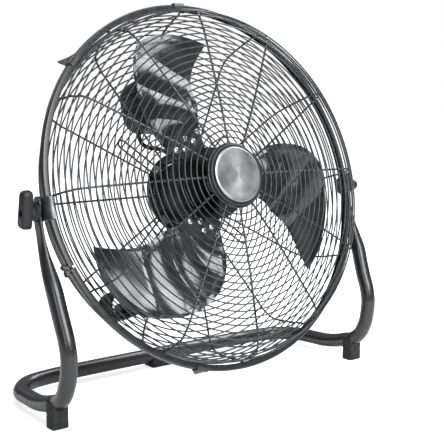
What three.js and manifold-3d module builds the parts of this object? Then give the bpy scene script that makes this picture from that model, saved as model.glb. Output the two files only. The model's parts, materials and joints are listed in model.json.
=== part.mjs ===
// High-velocity floor fan: a round wire cage with three metal blades, which tilts
// between the legs of a bent-tube cradle stand.
//
// Units are millimetres. +Z is up and the fan blows towards -Y. Lengths along the
// fan's own axis are called "ahead": positive towards the front guard, measured from
// the tilt pivot. Radii are measured from the fan's axis.
import * as THREE from 'three';
import { mergeVertices } from 'three/addons/utils/BufferGeometryUtils.js';
import Module from 'manifold-3d';

const wasm = await Module();
wasm.setup();

// ---------------------------------------------------------------- driving dimensions
const fitGap = 0.3; // between pieces that seat on each other
const runGap = 1.0; // between pieces that move past each other

// cradle stand
const tubeRadius = 11;
const pivotHeight = 277.5;
const legSpread = 272; // half the distance between the two legs, low down
const legTopSpread = 278; // and at the pivots
const legLean = 63; // how far the legs reach ahead of the pivots
const pressedThickness = 9; // leg's flattened end, across the fan
const pressedWidening = 1.2; // and how much broader the pressing makes it
const pressedStart = 62; // below the pivot, where flattening begins
const pressedFull = 28; // below the pivot, where it is complete
const railHeight = 32; // tube centre over the front feet
const crossbarHeight = 17; // tube centre at the back
const frontFootAhead = 28; // front feet, ahead of the pivots
const crossbarBehind = 133;
const cornerReach = 46; // of the bend from side rail to crossbar
const frontFootSize = { x: 25, y: 28, z: 37 };
const rearFootSize = { x: 38, y: 27, z: 14 };
const footCorner = 3;

// fan head
const headTilt = 16.5; // degrees, blowing slightly upwards
const axisRise = 17.2; // fan axis above the pivot, square to the axis
const rimRadius = 265;
const rimWidth = 10;
const rimDepth = 8.5;
const rimWall = 1.4;
const rimAhead = 9.4;
const rimSegments = 36;

// wire guards
const ringWire = 1.1; // radius of the ring wires
const heavyWire = 1.5; // radius of the radial, edge and centre wires
const weldSink = 0.6; // a radial wire sinks this far into each ring
const spokeCount = 12;
const frontRingPitch = 19; // of the rings kept here: every other one
const rearRingPitch = 28.5; // and every third one
const shoulderInset = 21; // front shoulder inside the rim's outer edge
const shoulderAhead = 50;
const faceAhead = 68; // front face at the cap
const capRadius = 43;
const capAhead = 76;
const capStep = 4; // plate is smaller than its holder by this
const rearFaceBehind = 60;
const rearShoulderInset = 25;
const mountRingRadius = 62;
const mountSpokeReach = 165;
const mountSpokeGap = 6; // half the gap of a hairpin
const mountSpokeAngle = 40; // above and below level

// motor
const motorRadius = 49;
const motorFront = -4;
const motorSplit = -48;
const motorBack = -92;
const motorWall = 2.5;
const shaftRadius = 6;
const bearingRadius = 14;
const bearingWidth = 9;
const statorRadius = motorRadius - motorWall - 1;
const rotorRadius = 27;
const airGap = 0.7;
const stackLength = 40;
const mountPlateThickness = 2.5;
const mountPlateMargin = 10; // plate beyond its screws
const mountScrewCircle = mountRingRadius + 5;

// impeller
const bladeCount = 3;
const bladePhase = 0; // degrees, of the first blade, counter-clockwise from +X seen from the front
const bladeThickness = 1.5;
const hubPlane = 20; // blade roots, ahead of the pivot
const hubBossRadius = 15;
const spiderRadius = 52;
const spiderArmReach = 84;
const spiderThickness = 2.5;
const rivetRadius = 2.6;
const rivetHeadRadius = 4.4;
const pressHeight = 5; // of the two stepped ribs pressed in each blade

// tilt pivots
const boltRadius = 4;
const boltHeadRadius = 7;
const boltHeadThickness = 2.2;
const bracketThickness = 3;
const bracketHeight = 34;
const bracketBehind = 15;
const knobLength = 49;
const knobWidth = 15;
const knobDepth = 13;
const knobCollar = 4;

// switch box and speed knob, at the back of the cage
const switchBox = { x: -21, z: 138, width: 84, height: 78, corner: 26, depth: 34, wall: 2.5 };
const speedKnobRadius = 15;
const speedKnobDepth = 13;

// mains lead
const leadRadius = 3.2;
const leadBehind = 72.5; // both leads enter the motor this far behind the pivot
const cordRadius = 3;
const cordLayers = 6; // the hank's turns, side by side
const foldRadius = 6 * cordRadius; // of the cord's middle line
const hankRun = 90; // straight part of each turn
const hank = { x: -89.5, z: -139.4, slope: 12, standOff: 0.6 };
const glandLength = 30;
const tieWidth = 5;
const tieThickness = 1.2;
const plugSize = { long: 38, wide: 25, deep: 23 };

// ---------------------------------------------------------------- finishes
const finish = (color, roughness, metalness) =>
  new THREE.MeshStandardMaterial({ color, roughness, metalness });
const blackPaint = finish(0x2a2b2d, 0.38, 0.3);
const graphitePaint = finish(0x33353a, 0.34, 0.55);
const wirePaint = finish(0x1d1e20, 0.42, 0.3);
const blackPlastic = finish(0x1b1c1e, 0.55, 0.0);
const blackRubber = finish(0x242526, 0.85, 0.0);
const zincPlate = finish(0xb9bcc0, 0.3, 0.9);
const brushedAluminium = finish(0xbfc1c4, 0.32, 0.95);
const laminatedSteel = finish(0x6d7076, 0.45, 0.8);
const copperWire = finish(0x9a5b33, 0.4, 0.8);
const cordSheath = finish(0x17181a, 0.6, 0.0);

// ---------------------------------------------------------------- solids and placing
function signedVolume(position, index) {
  const a = new THREE.Vector3();
  const b = new THREE.Vector3();
  const c = new THREE.Vector3();
  let six = 0;
  for (let i = 0; i < index.length; i += 3) {
    a.fromBufferAttribute(position, index[i]);
    b.fromBufferAttribute(position, index[i + 1]);
    c.fromBufferAttribute(position, index[i + 2]);
    six += a.dot(b.cross(c));
  }
  return six;
}

// A closed three.js geometry as a solid, turned right side out.
function solid(geometry) {
  const bare = geometry.index ? geometry.toNonIndexed() : geometry.clone();
  bare.deleteAttribute('normal');
  bare.deleteAttribute('uv');
  const merged = mergeVertices(bare, 1e-4);
  const index = Array.from(merged.index.array);
  if (signedVolume(merged.attributes.position, index) < 0) index.reverse();
  const mesh = new wasm.Mesh({
    numProp: 3,
    vertProperties: Float32Array.from(merged.attributes.position.array),
    triVerts: Uint32Array.from(index),
  });
  mesh.merge();
  return new wasm.Manifold(mesh);
}

function geometryOf(manifold) {
  const mesh = manifold.getMesh();
  const geometry = new THREE.BufferGeometry();
  geometry.setAttribute('position', new THREE.BufferAttribute(mesh.vertProperties, 3));
  geometry.setIndex(new THREE.BufferAttribute(mesh.triVerts, 1));
  return geometry;
}

function place(parent, name, shape, material) {
  const geometry = shape.isBufferGeometry ? geometryOf(solid(shape)) : geometryOf(shape);
  geometry.computeVertexNormals();
  const mesh = new THREE.Mesh(geometry, material);
  mesh.name = name;
  parent.add(mesh);
  return mesh;
}

function joined(...shapes) {
  const solids = shapes.map((shape) => (shape.isBufferGeometry ? solid(shape) : shape));
  return solids.reduce((sum, next) => sum.add(next));
}

function cut(shape, ...tools) {
  const body = shape.isBufferGeometry ? solid(shape) : shape;
  return tools.reduce((rest, tool) => rest.subtract(tool.isBufferGeometry ? solid(tool) : tool), body);
}

const radians = THREE.MathUtils.degToRad;

// Point on the fan: radius, angle in degrees seen from the front, distance ahead.
function onFan(radius, angle, ahead) {
  const turn = radians(angle);
  return new THREE.Vector3(radius * Math.cos(turn), -ahead, radius * Math.sin(turn));
}

// Body of revolution about the fan's axis. The profile is a list of [radius, ahead].
function turned(profile, segments) {
  const points = profile.map(([radius, ahead]) => new THREE.Vector2(radius, -ahead));
  return new THREE.LatheGeometry(points, segments);
}

function closedLoop(profile) {
  return [...profile, profile[0]];
}

// Round bar between two distances ahead, on the fan's axis.
function bar(radius, from, to, segments) {
  return turned([[0, from], [radius, from], [radius, to], [0, to]], segments);
}

function tube(outer, inner, from, to, segments) {
  return turned(closedLoop([[inner, from], [outer, from], [outer, to], [inner, to]]), segments);
}

// Round bar along X between two x values.
function crossBar(radius, from, to, segments) {
  const geometry = new THREE.CylinderGeometry(radius, radius, Math.abs(to - from), segments);
  geometry.rotateZ(Math.PI / 2);
  geometry.translate((from + to) / 2, 0, 0);
  return geometry;
}

function block(x, y, z) {
  return new THREE.BoxGeometry(x[1] - x[0], y[1] - y[0], z[1] - z[0])
    .translate((x[0] + x[1]) / 2, (y[0] + y[1]) / 2, (z[0] + z[1]) / 2);
}

function roundedRectangle(width, height, corner) {
  const w = width / 2;
  const h = height / 2;
  const shape = new THREE.Shape();
  shape.moveTo(-w + corner, -h);
  shape.lineTo(w - corner, -h);
  shape.absarc(w - corner, -h + corner, corner, -Math.PI / 2, 0);
  shape.lineTo(w, h - corner);
  shape.absarc(w - corner, h - corner, corner, 0, Math.PI / 2);
  shape.lineTo(-w + corner, h);
  shape.absarc(-w + corner, h - corner, corner, Math.PI / 2, Math.PI);
  shape.lineTo(-w, -h + corner);
  shape.absarc(-w + corner, -h + corner, corner, Math.PI, 1.5 * Math.PI);
  return shape;
}

// A flat shape drawn as seen from the front, given its thickness along the fan's axis.
function plate(shape, from, to, curveSegments) {
  const geometry = new THREE.ExtrudeGeometry(shape, {
    depth: to - from,
    bevelEnabled: false,
    curveSegments,
  });
  geometry.rotateX(Math.PI / 2);
  geometry.translate(0, -from, 0);
  return geometry;
}

function sweptSection(radius, sides) {
  const shape = new THREE.Shape();
  for (let i = 0; i < sides; i++) {
    const turn = (2 * Math.PI * i) / sides;
    const x = radius * Math.cos(turn);
    const y = radius * Math.sin(turn);
    if (i === 0) shape.moveTo(x, y);
    else shape.lineTo(x, y);
  }
  shape.closePath();
  return shape;
}

// Bar swept along a curve, with flat ends.
function swept(path, radius, sides, steps) {
  return new THREE.ExtrudeGeometry(sweptSection(radius, sides), {
    steps,
    bevelEnabled: false,
    extrudePath: path,
  });
}

const smooth = (points) => new THREE.CatmullRomCurve3(points, false, 'centripetal');

// Wire bent in one plane, mitred at each point, with flat ends. `across` is the
// plane's normal. The section is a polygon with one corner to the left of the way along.
function wire(points, radius, sides, across) {
  const rings = points.map((point, i) => {
    const before = points[Math.max(i - 1, 0)];
    const after = points[Math.min(i + 1, points.length - 1)];
    const along = after.clone().sub(before).normalize();
    const arriving = point.clone().sub(before).normalize();
    const stretch = i > 0 && i + 1 < points.length ? 1 / Math.max(arriving.dot(along), 0.5) : 1;
    const rise = new THREE.Vector3().crossVectors(across, along);
    const ring = [];
    for (let k = 0; k < sides; k++) {
      const turn = (2 * Math.PI * k) / sides;
      ring.push(point.clone()
        .addScaledVector(rise, radius * stretch * Math.cos(turn))
        .addScaledVector(across, radius * Math.sin(turn)));
    }
    return ring;
  });
  const positions = [];
  const face = (a, b, c) => positions.push(a.x, a.y, a.z, b.x, b.y, b.z, c.x, c.y, c.z);
  for (let i = 0; i + 1 < rings.length; i++) {
    for (let k = 0; k < sides; k++) {
      const next = (k + 1) % sides;
      face(rings[i][k], rings[i][next], rings[i + 1][next]);
      face(rings[i][k], rings[i + 1][next], rings[i + 1][k]);
    }
  }
  const first = rings[0];
  const last = rings[rings.length - 1];
  for (let k = 1; k + 1 < sides; k++) {
    face(first[0], first[k + 1], first[k]);
    face(last[0], last[k], last[k + 1]);
  }
  const geometry = new THREE.BufferGeometry();
  geometry.setAttribute('position', new THREE.Float32BufferAttribute(positions, 3));
  return geometry;
}

// ---------------------------------------------------------------- cradle stand
function legPath(side, lift) {
  const x = (spread) => side * spread;
  const behind = crossbarBehind;
  const points = [
    [x(legTopSpread), 0, pivotHeight + tubeRadius + 9],
    [x(legTopSpread), -1, pivotHeight - 8],
    [x(legTopSpread - 2), -legLean * 0.14, pivotHeight - 40],
    [x(legSpread), -legLean * 0.35, pivotHeight - 84],
    [x(legSpread - 2), -legLean * 0.62, pivotHeight - 124],
    [x(legSpread - 3), -legLean * 0.91, railHeight + 80],
    [x(legSpread - 3), -legLean, railHeight + 55],
    [x(legSpread - 3), -legLean * 0.94, railHeight + 33],
    [x(legSpread - 2), -legLean * 0.74, railHeight + 13],
    [x(legSpread), -frontFootAhead, railHeight],
    [x(legSpread), -frontFootAhead + 26, railHeight - 8],
    [x(legSpread + 2), -frontFootAhead + 62, railHeight - 12],
    [x(legSpread + 3), behind - cornerReach - 12, crossbarHeight + 2],
    [x(legSpread + 1), behind - cornerReach * 0.45, crossbarHeight + 1],
    [x(legSpread - cornerReach * 0.24), behind - cornerReach * 0.14, crossbarHeight + 1],
    [x(legSpread - cornerReach * 0.62), behind, crossbarHeight],
    [x(legSpread - cornerReach * 1.25), behind + 1, crossbarHeight],
  ];
  return points.map(([px, py, pz]) => new THREE.Vector3(px, py, pz + (lift || 0)));
}

function standTube(radius, sides, steps) {
  const left = legPath(-1);
  const right = legPath(1).reverse();
  const path = smooth([...left, new THREE.Vector3(0, crossbarBehind, crossbarHeight), ...right]);
  const geometry = swept(path, radius, sides, steps);
  // both ends are pressed flat where they meet the pivots
  const position = geometry.attributes.position;
  for (let i = 0; i < position.count; i++) {
    const depth = pivotHeight - position.getZ(i);
    if (depth > pressedStart) continue;
    const ease = THREE.MathUtils.smoothstep(-depth, -pressedStart, -pressedFull);
    const keep = 1 - ease * (1 - pressedThickness / (2 * tubeRadius));
    const centre = Math.sign(position.getX(i)) * legTopSpread;
    position.setX(i, centre + (position.getX(i) - centre) * keep);
    position.setY(i, position.getY(i) * (1 + ease * (pressedWidening - 1)));
  }
  return solid(geometry);
}

// Half-round top for a leg's pressed end, as the space around it.
function roundTop(side) {
  const outside = block([side * legTopSpread - 20, side * legTopSpread + 20], [-30, 30], [0, 40]);
  const inside = crossBar(tubeRadius * pressedWidening, side * legTopSpread - 21, side * legTopSpread + 21, 24);
  return cut(outside, inside).translate([0, 0, pivotHeight]);
}

function addStand(parent) {
  const boltHole = crossBar(boltRadius + fitGap, -legSpread - 40, legSpread + 40, 16)
    .translate(0, 0, pivotHeight);
  place(parent, 'stand_tube',
    cut(standTube(tubeRadius, 10, 66), boltHole, roundTop(-1), roundTop(1)), blackPaint);

  const seat = standTube(tubeRadius + fitGap, 10, 66);
  for (const [name, side] of [['front_foot_left', -1], ['front_foot_right', 1]]) {
    const foot = new THREE.ExtrudeGeometry(
      roundedRectangle(frontFootSize.x, frontFootSize.y, footCorner),
      { depth: frontFootSize.z, bevelEnabled: false, curveSegments: 3 },
    );
    foot.translate(side * legSpread, -frontFootAhead, 0);
    const whole = cut(foot, seat).decompose();
    const largest = whole.reduce((best, next) => (next.volume() > best.volume() ? next : best));
    place(parent, name, largest, blackRubber);
  }
  const rearFoot = new THREE.ExtrudeGeometry(
    roundedRectangle(rearFootSize.x, rearFootSize.y, footCorner),
    { depth: rearFootSize.z, bevelEnabled: false, curveSegments: 3 },
  );
  rearFoot.translate(0, crossbarBehind, 0);
  place(parent, 'rear_foot', cut(rearFoot, seat), blackRubber);
}

// ---------------------------------------------------------------- rim
function rimChannel() {
  const front = rimAhead + rimWidth / 2;
  const back = rimAhead - rimWidth / 2;
  const lip = rimRadius - rimDepth;
  const inside = rimRadius - rimWall;
  return turned(closedLoop([
    [lip, back], [rimRadius - 1.5, back], [rimRadius, back + 1.5],
    [rimRadius, front - 1.5], [rimRadius - 1.5, front], [lip, front],
    [lip, front - rimWall], [inside, front - rimWall],
    [inside, back + rimWall], [lip, back + rimWall],
  ]), rimSegments);
}

const clampAngle = 201;
const clampGap = 3;
const earThickness = 2.5;
const earHeight = 11;

function turnedAbout(geometry, angle) {
  return geometry.rotateY(-radians(angle));
}

function addRim(parent) {
  const back = rimAhead - rimWidth / 2;
  const front = rimAhead + rimWidth / 2;
  const split = turnedAbout(
    block([rimRadius - 14, rimRadius + 4], [-front - 1, -back + 1], [-clampGap / 2, clampGap / 2]),
    clampAngle,
  );
  const ears = [-1, 1].map((side) => turnedAbout(block(
    [rimRadius - rimWall, rimRadius + earHeight],
    [-front + 1, -back - 1],
    side < 0 ? [-clampGap / 2 - earThickness, -clampGap / 2] : [clampGap / 2, clampGap / 2 + earThickness],
  ), clampAngle));
  const screwLine = rimRadius + earHeight * 0.6;
  const hole = turnedAbout(
    new THREE.CylinderGeometry(2.3, 2.3, 30, 12).rotateX(Math.PI / 2).translate(screwLine, -rimAhead, 0),
    clampAngle,
  );
  const band = cut(cut(joined(rimChannel()), split).add(joined(...ears)), hole);
  place(parent, 'rim_band', band, blackPaint);

  const half = clampGap / 2 + earThickness + fitGap;
  const alongScrew = (radius, from, to, segments) => turnedAbout(
    new THREE.CylinderGeometry(radius, radius, to - from, segments)
      .rotateX(Math.PI / 2).translate(screwLine, -rimAhead, (from + to) / 2),
    clampAngle,
  );
  place(parent, 'rim_clamp_screw', joined(
    alongScrew(2, -half - 1, half + 7, 10),
    alongScrew(4, -half - 3.5, -half, 12),
  ), zincPlate);
  place(parent, 'rim_clamp_nut', cut(
    alongScrew(4, half, half + 3.5, 6),
    alongScrew(2 + fitGap, half - 1, half + 5, 10),
  ), zincPlate);
}

// Spring clips that hold both guards' edge wires in the channel.
const clips = [['clip_top', 91], ['clip_upper_left', 139], ['clip_bottom', 254]];
const clipWidth = 18;
const clipThickness = 1.6;
const clipTab = 9;

function addClips(parent) {
  const back = rimAhead - rimWidth / 2 - fitGap;
  const front = rimAhead + rimWidth / 2 + fitGap;
  const out = rimRadius + 0.6;
  const lip = rimRadius - rimDepth + 1;
  const t = clipThickness;
  const outline = [
    [lip, back], [lip, back - t], [out + t, back - t], [out + t, front - 2],
    [out + t + clipTab, front + 1], [out + t + clipTab, front + t],
    [out + t, front + t], [lip, front + t], [lip, front], [out, front], [out, back],
  ];
  const shape = new THREE.Shape(outline.map(([radius, ahead]) => new THREE.Vector2(radius, -ahead)));
  for (const [name, angle] of clips) {
    const clip = new THREE.ExtrudeGeometry(shape, { depth: clipWidth, bevelEnabled: false });
    clip.translate(0, 0, -clipWidth / 2);
    place(parent, name, turnedAbout(clip, angle), blackPaint);
  }
}

// ---------------------------------------------------------------- wire guards
const shoulderRadius = rimRadius - shoulderInset;
const rearShoulderRadius = rimRadius - rearShoulderInset;
const drop = ringWire + heavyWire - weldSink; // from a radial wire's middle to a ring's
const mouth = rimRadius - rimDepth - heavyWire - 2; // radial wires clear the channel's lips
const edgeRadius = rimRadius - 5;
const edgeOffset = heavyWire + 0.45; // edge wires lie this far each side of the channel's middle

// A guard is drawn as the meridian of its radial wires: [radius, ahead] from centre to rim.
function meridian(points) {
  return new THREE.CatmullRomCurve3(
    points.map(([radius, ahead]) => new THREE.Vector3(radius, ahead, 0)), false, 'centripetal',
  );
}

function domeAhead(share) {
  return faceAhead - drop - (faceAhead - shoulderAhead - 4) * share * share;
}

const frontMeridian = meridian([
  ...[0, 0.25, 0.5, 0.75, 0.9].map((share) =>
    [THREE.MathUtils.lerp(capRadius + 2, shoulderRadius, share), domeAhead(share)]),
  [shoulderRadius - 3, shoulderAhead - 2],
  [shoulderRadius + 1, shoulderAhead - 11],
  [mouth - 4, rimAhead + 24],
  [mouth - 1, rimAhead + rimWidth / 2 + 3],
]);

const rearMeridian = meridian([
  ...[0, 0.25, 0.5, 0.75, 0.88].map((share) =>
    [THREE.MathUtils.lerp(mountRingRadius, rearShoulderRadius, share), -rearFaceBehind + drop]),
  [rearShoulderRadius - 6, -rearFaceBehind + 8],
  [rearShoulderRadius, -rearFaceBehind + 17],
  [mouth - 4, rimAhead - 24],
  [mouth - 1, rimAhead - rimWidth / 2 - 3],
]);

// Ring of three-sided wire, one edge of it turned towards [inward, ahead].
function ringOf(radius, ahead, thickness, segments, [inward, forward] = [0, 1]) {
  const start = Math.atan2(forward, inward);
  const section = [0, 1, 2].map((k) => {
    const turn = start + (2 * Math.PI * k) / 3;
    return [radius + thickness * Math.cos(turn), ahead + thickness * Math.sin(turn)];
  });
  return turned(closedLoop(section), segments);
}

const ringSegments = 24;

// One guard's rings and radial wires; `facing` is 1 for the front guard and -1 for the rear.
// Each ring is welded to the outside of the radial wires, which bend only at rings. Where
// the guard is nearly flat they bend at every other ring.
function guardWires(curve, facing, firstRing, ringPitch) {
  const length = curve.getLength();
  const stops = [];
  for (let at = firstRing; at < length - 2; at += ringPitch) stops.push(at / length);
  const isFlat = (k) => k > 0 && k + 1 < stops.length
    && curve.getTangentAt(stops[k - 1]).angleTo(curve.getTangentAt(stops[k + 1])) < radians(12);
  const line = [curve.getPointAt(0)];
  const rings = [];
  stops.forEach((stop, k) => {
    let at = curve.getPointAt(stop);
    let along = curve.getTangentAt(stop);
    const between = k % 2 === 1 && isFlat(k);
    if (between) {
      const before = curve.getPointAt(stops[k - 1]);
      const after = curve.getPointAt(stops[k + 1]);
      at = before.clone().lerp(after, 0.5);
      along = after.sub(before).normalize();
    } else {
      line.push(at);
    }
    const outward = [-facing * along.y, facing * along.x];
    rings.push(ringOf(
      at.x + outward[0] * drop, at.y + outward[1] * drop, ringWire, ringSegments,
      outward.map((part) => -part),
    ));
  });
  const seat = rimAhead + facing * edgeOffset;
  const bends = [
    ...[...line, curve.getPointAt(1)].map(({ x, y }) => [x, y]),
    [mouth + 0.5, seat + facing * 1.5], [mouth + 2, seat], [edgeRadius, seat],
  ];
  rings.push(ringOf(edgeRadius, seat, heavyWire, rimSegments));
  const spokes = [];
  for (let i = 0; i < spokeCount; i++) {
    const angle = (360 / spokeCount) * i;
    const points = bends.map(([radius, ahead]) => onFan(radius, angle, ahead));
    spokes.push(wire(points, heavyWire, 3, onFan(-facing, angle + 90, 0)));
  }
  return [...rings, ...spokes];
}

function addFrontGuard(parent) {
  const hub = ringOf(capRadius + 2, faceAhead, heavyWire, 24);
  place(parent, 'front_guard', joined(hub, ...guardWires(frontMeridian, 1, frontRingPitch / 2, frontRingPitch)), wirePaint);
}

// Doubled radial wire with a round end, which carries the motor's mounting plate.
function hairpin(angle) {
  const gap = mountSpokeGap;
  const turn = mountSpokeReach - gap;
  const line = [[mountRingRadius - 4, -gap], [turn, -gap]];
  for (let i = 1; i < 6; i++) {
    const swing = radians(-90 + 30 * i);
    line.push([turn + gap * Math.cos(swing), gap * Math.sin(swing)]);
  }
  line.push([turn, gap], [mountRingRadius - 4, gap]);
  const points = line.map(([out, side]) => onFan(out, angle, -rearFaceBehind + drop)
    .add(onFan(side, angle + 90, 0)));
  return wire(points, heavyWire, 4, new THREE.Vector3(0, 1, 0));
}

const mountAngles = [0, 180].flatMap((side) => [side - mountSpokeAngle, side + mountSpokeAngle]);

function addRearGuard(parent) {
  const hub = ringOf(mountRingRadius, -rearFaceBehind, heavyWire, 24);
  place(parent, 'rear_guard',
    joined(hub, ...guardWires(rearMeridian, -1, rearRingPitch, rearRingPitch), ...mountAngles.map(hairpin)), wirePaint);
}

function addCap(parent) {
  const seat = faceAhead + heavyWire + fitGap;
  const holder = capRadius + 0.2;
  const plateRadius = capRadius - capStep;
  place(parent, 'cap_holder', turned([
    [0, seat], [holder, seat], [holder, seat + 1.5], [holder - 1.5, seat + 3.5],
    [plateRadius + fitGap, seat + 3.5], [plateRadius + fitGap, seat + 2], [0, seat + 2],
  ], 32), blackPlastic);
  place(parent, 'cap_plate', turned([
    [0, seat + 2 + fitGap], [plateRadius, seat + 2 + fitGap], [plateRadius, capAhead - 1.2],
    [plateRadius - 1.5, capAhead - 0.2], [plateRadius * 0.6, capAhead + 0.6], [0, capAhead + 0.9],
  ], 32), brushedAluminium);
}

// ---------------------------------------------------------------- motor
function addMotor(head) {
  const wall = motorWall;
  const r = motorRadius;
  const seatRadius = bearingRadius + 3;
  place(head, 'motor_front_shell', cut(turned([
    [0, motorFront], [seatRadius + 2, motorFront], [seatRadius + 4, motorFront - 5],
    [r - 12, motorFront - 7], [r - 2, motorFront - 13], [r, motorFront - 19], [r, motorSplit],
    [r - wall, motorSplit], [r - wall, motorFront - 21], [r - 14, motorFront - 10.5],
    [seatRadius, motorFront - 9], [seatRadius, motorFront - 14], [bearingRadius + fitGap, motorFront - 14],
    [bearingRadius + fitGap, motorFront - 3], [0, motorFront - 3],
  ], 24), bar(shaftRadius + 1, motorFront - 20, motorFront + 2, 20)), blackPaint);

  const back = motorBack;
  place(head, 'motor_rear_shell', cut(turned([
    [0, back], [r - 16, back], [r - 5, back + 5], [r, back + 14], [r, motorSplit - fitGap],
    [r - wall, motorSplit - fitGap], [r - wall, back + 16], [r - 16, back + 6],
    [seatRadius, back + 5], [seatRadius, back + 14], [bearingRadius + fitGap, back + 14],
    [bearingRadius + fitGap, back + 3.5], [0, back + 3.5],
  ], 24),
  upright(leadRadius + fitGap, 0, -leadBehind, r - wall - 3, r + 3, 12),
  upright(5 + fitGap, 0, -leadBehind, -r - 3, -r + wall + 3, 12)), blackPaint);

  const middle = (motorFront + motorBack) / 2;
  const stackFrom = middle - stackLength / 2;
  const stackTo = middle + stackLength / 2;
  place(head, 'motor_stator', tube(statorRadius, rotorRadius + airGap, stackFrom, stackTo, 24), laminatedSteel);
  const coil = 6;
  place(head, 'motor_winding_front',
    tube(statorRadius - 6, rotorRadius + 2, stackTo + fitGap, stackTo + coil, 24), copperWire);
  place(head, 'motor_winding_rear',
    tube(statorRadius - 6, rotorRadius + 2, stackFrom - coil, stackFrom - fitGap, 24), copperWire);
  const frontSeat = motorFront - 3 - fitGap;
  const rearSeat = motorBack + 3.5 + fitGap;
  place(head, 'motor_bearing_front',
    tube(bearingRadius, shaftRadius + fitGap, frontSeat - bearingWidth, frontSeat, 24), zincPlate);
  place(head, 'motor_bearing_rear',
    tube(bearingRadius, shaftRadius + fitGap, rearSeat, rearSeat + bearingWidth, 24), zincPlate);
  return { stackFrom, stackTo, rearSeat };
}

// Ring plate behind the guard, clamped to the four hairpins.
function addMotorMount(head) {
  const front = -rearFaceBehind - heavyWire - fitGap;
  const back = front - mountPlateThickness;
  const wires = -rearFaceBehind + drop + heavyWire;
  const hole = (angle, radius) => crossHole(angle, mountScrewCircle, radius, back - 4, wires + 8);
  place(head, 'motor_mount_plate', cut(
    tube(mountScrewCircle + mountPlateMargin, motorRadius + 0.8, back, front, 32),
    ...mountAngles.map((angle) => hole(angle, 2.2 + fitGap)),
  ), blackPaint);
  mountAngles.forEach((angle, i) => {
    const bar = (radius, from, to) => crossHole(angle, mountScrewCircle, radius, from, to);
    place(head, `motor_mount_screw_${i + 1}`, joined(
      bar(2.2, back - 1, wires + 4.5), bar(4.4, back - fitGap - 2.8, back - fitGap),
    ), zincPlate);
    place(head, `motor_mount_nut_${i + 1}`, cut(
      joined(bar(7.5, wires + fitGap, wires + 1.5), bar(4.2, wires + 1, wires + 4.2)),
      hole(angle, 2.2 + fitGap),
    ), zincPlate);
  });
}

// Round bar parallel to the fan's axis, off to one side.
function crossHole(angle, out, radius, from, to) {
  const at = onFan(out, angle, 0);
  return new THREE.CylinderGeometry(radius, radius, to - from, 6).translate(at.x, -(from + to) / 2, at.z);
}

// ---------------------------------------------------------------- impeller
// Edges of one blade as [radius, degrees from the blade's own line, ahead of the hub plane],
// from root to tip. The leading edge trails back to the intake side.
const leadingEdge = [
  [56, -20, 0], [86, -22, 1], [112, -27.5, -2], [140, -28.5, -10], [165, -32, -17], [190, -37, -20], [212, -41, -18.5],
];
const trailingEdge = [
  [56, 24, 0], [86, 26, 1], [115, 24.5, 8], [145, 19.2, 15.5], [172, 12.5, 18.5], [200, 3.5, 9.5], [223, -9, -15],
];
const tipBulge = 8.5;
// where the two stepped ribs run, as shares of the span at the leading and trailing edges
const ribInner = [0.42, 0.6];
const ribOuter = [0.62, 0.86];

const edgeCurve = (edge) => smooth(edge.map(([radius, angle, ahead]) => new THREE.Vector3(radius, angle, ahead)));
const leading = edgeCurve(leadingEdge);
const trailing = edgeCurve(trailingEdge);

function bladePoint(span, chord, lift) {
  const a = leading.getPoint(span);
  const b = trailing.getPoint(span);
  const at = a.clone().lerp(b, chord);
  const bulge = tipBulge * Math.pow(span, 6) * 4 * chord * (1 - chord);
  const camber = 7 * Math.sin(Math.PI * chord) * THREE.MathUtils.smoothstep(span, 0.15, 0.5);
  return onFan(at.x + bulge, at.y, hubPlane + at.z - camber + lift);
}

// Rows across the blade: [share of the stretch between two ribs, lift], with a step at each rib.
function bladeRows() {
  const rows = [];
  const stretches = [
    [[0, 0], ribInner, [0, 0.25, 0.5, 0.75, 1], 0.2],
    [ribInner, ribOuter, [0, 0.25, 0.5, 0.75, 1], 1],
    [ribOuter, [1, 1], [0, 0.25, 0.5, 0.75, 1], 1],
  ];
  stretches.forEach(([from, to, shares, start], k) => {
    for (const share of shares) {
      const lift = pressHeight * (k === 0 ? -share * 0.5 : 0.5 - share * (k === 2 ? 0.5 : 1));
      const shift = k > 0 && share === 0 ? 0.012 : 0;
      rows.push({ from, to, share, lift: lift * (start ? 1 : 1), shift });
    }
  });
  return rows;
}

function bladeGeometry(chordSteps) {
  const rows = bladeRows();
  const front = [];
  const back = [];
  for (const { from, to, share, lift, shift } of rows) {
    for (let j = 0; j <= chordSteps; j++) {
      const chord = j / chordSteps;
      const a = THREE.MathUtils.lerp(from[0], from[1], chord);
      const b = THREE.MathUtils.lerp(to[0], to[1], chord);
      const span = Math.min(1, THREE.MathUtils.lerp(a, b, share) + shift);
      const fade = THREE.MathUtils.smoothstep(chord, 0, 0.12) * THREE.MathUtils.smoothstep(1 - chord, 0, 0.12);
      front.push(bladePoint(span, chord, lift * fade + bladeThickness / 2));
      back.push(bladePoint(span, chord, lift * fade - bladeThickness / 2));
    }
  }
  const columns = chordSteps + 1;
  const positions = [];
  const face = (a, b, c) => positions.push(a.x, a.y, a.z, b.x, b.y, b.z, c.x, c.y, c.z);
  const quad = (a, b, c, d) => {
    face(a, b, c);
    face(a, c, d);
  };
  for (let i = 0; i + 1 < rows.length; i++) {
    for (let j = 0; j < chordSteps; j++) {
      const p = i * columns + j;
      const q = p + columns;
      quad(front[p], front[p + 1], front[q + 1], front[q]);
      quad(back[p], back[q], back[q + 1], back[p + 1]);
    }
    const l = i * columns;
    const t = l + chordSteps;
    quad(front[l], front[l + columns], back[l + columns], back[l]);
    quad(front[t], back[t], back[t + columns], front[t + columns]);
  }
  const last = (rows.length - 1) * columns;
  for (let j = 0; j < chordSteps; j++) {
    quad(front[j], back[j], back[j + 1], front[j + 1]);
    quad(front[last + j], front[last + j + 1], back[last + j + 1], back[last + j]);
  }
  const geometry = new THREE.BufferGeometry();
  geometry.setAttribute('position', new THREE.Float32BufferAttribute(positions, 3));
  return geometry;
}

const rivets = [[76, -17], [66, -6], [76, 2], [66, 11], [76, 20]];

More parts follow.
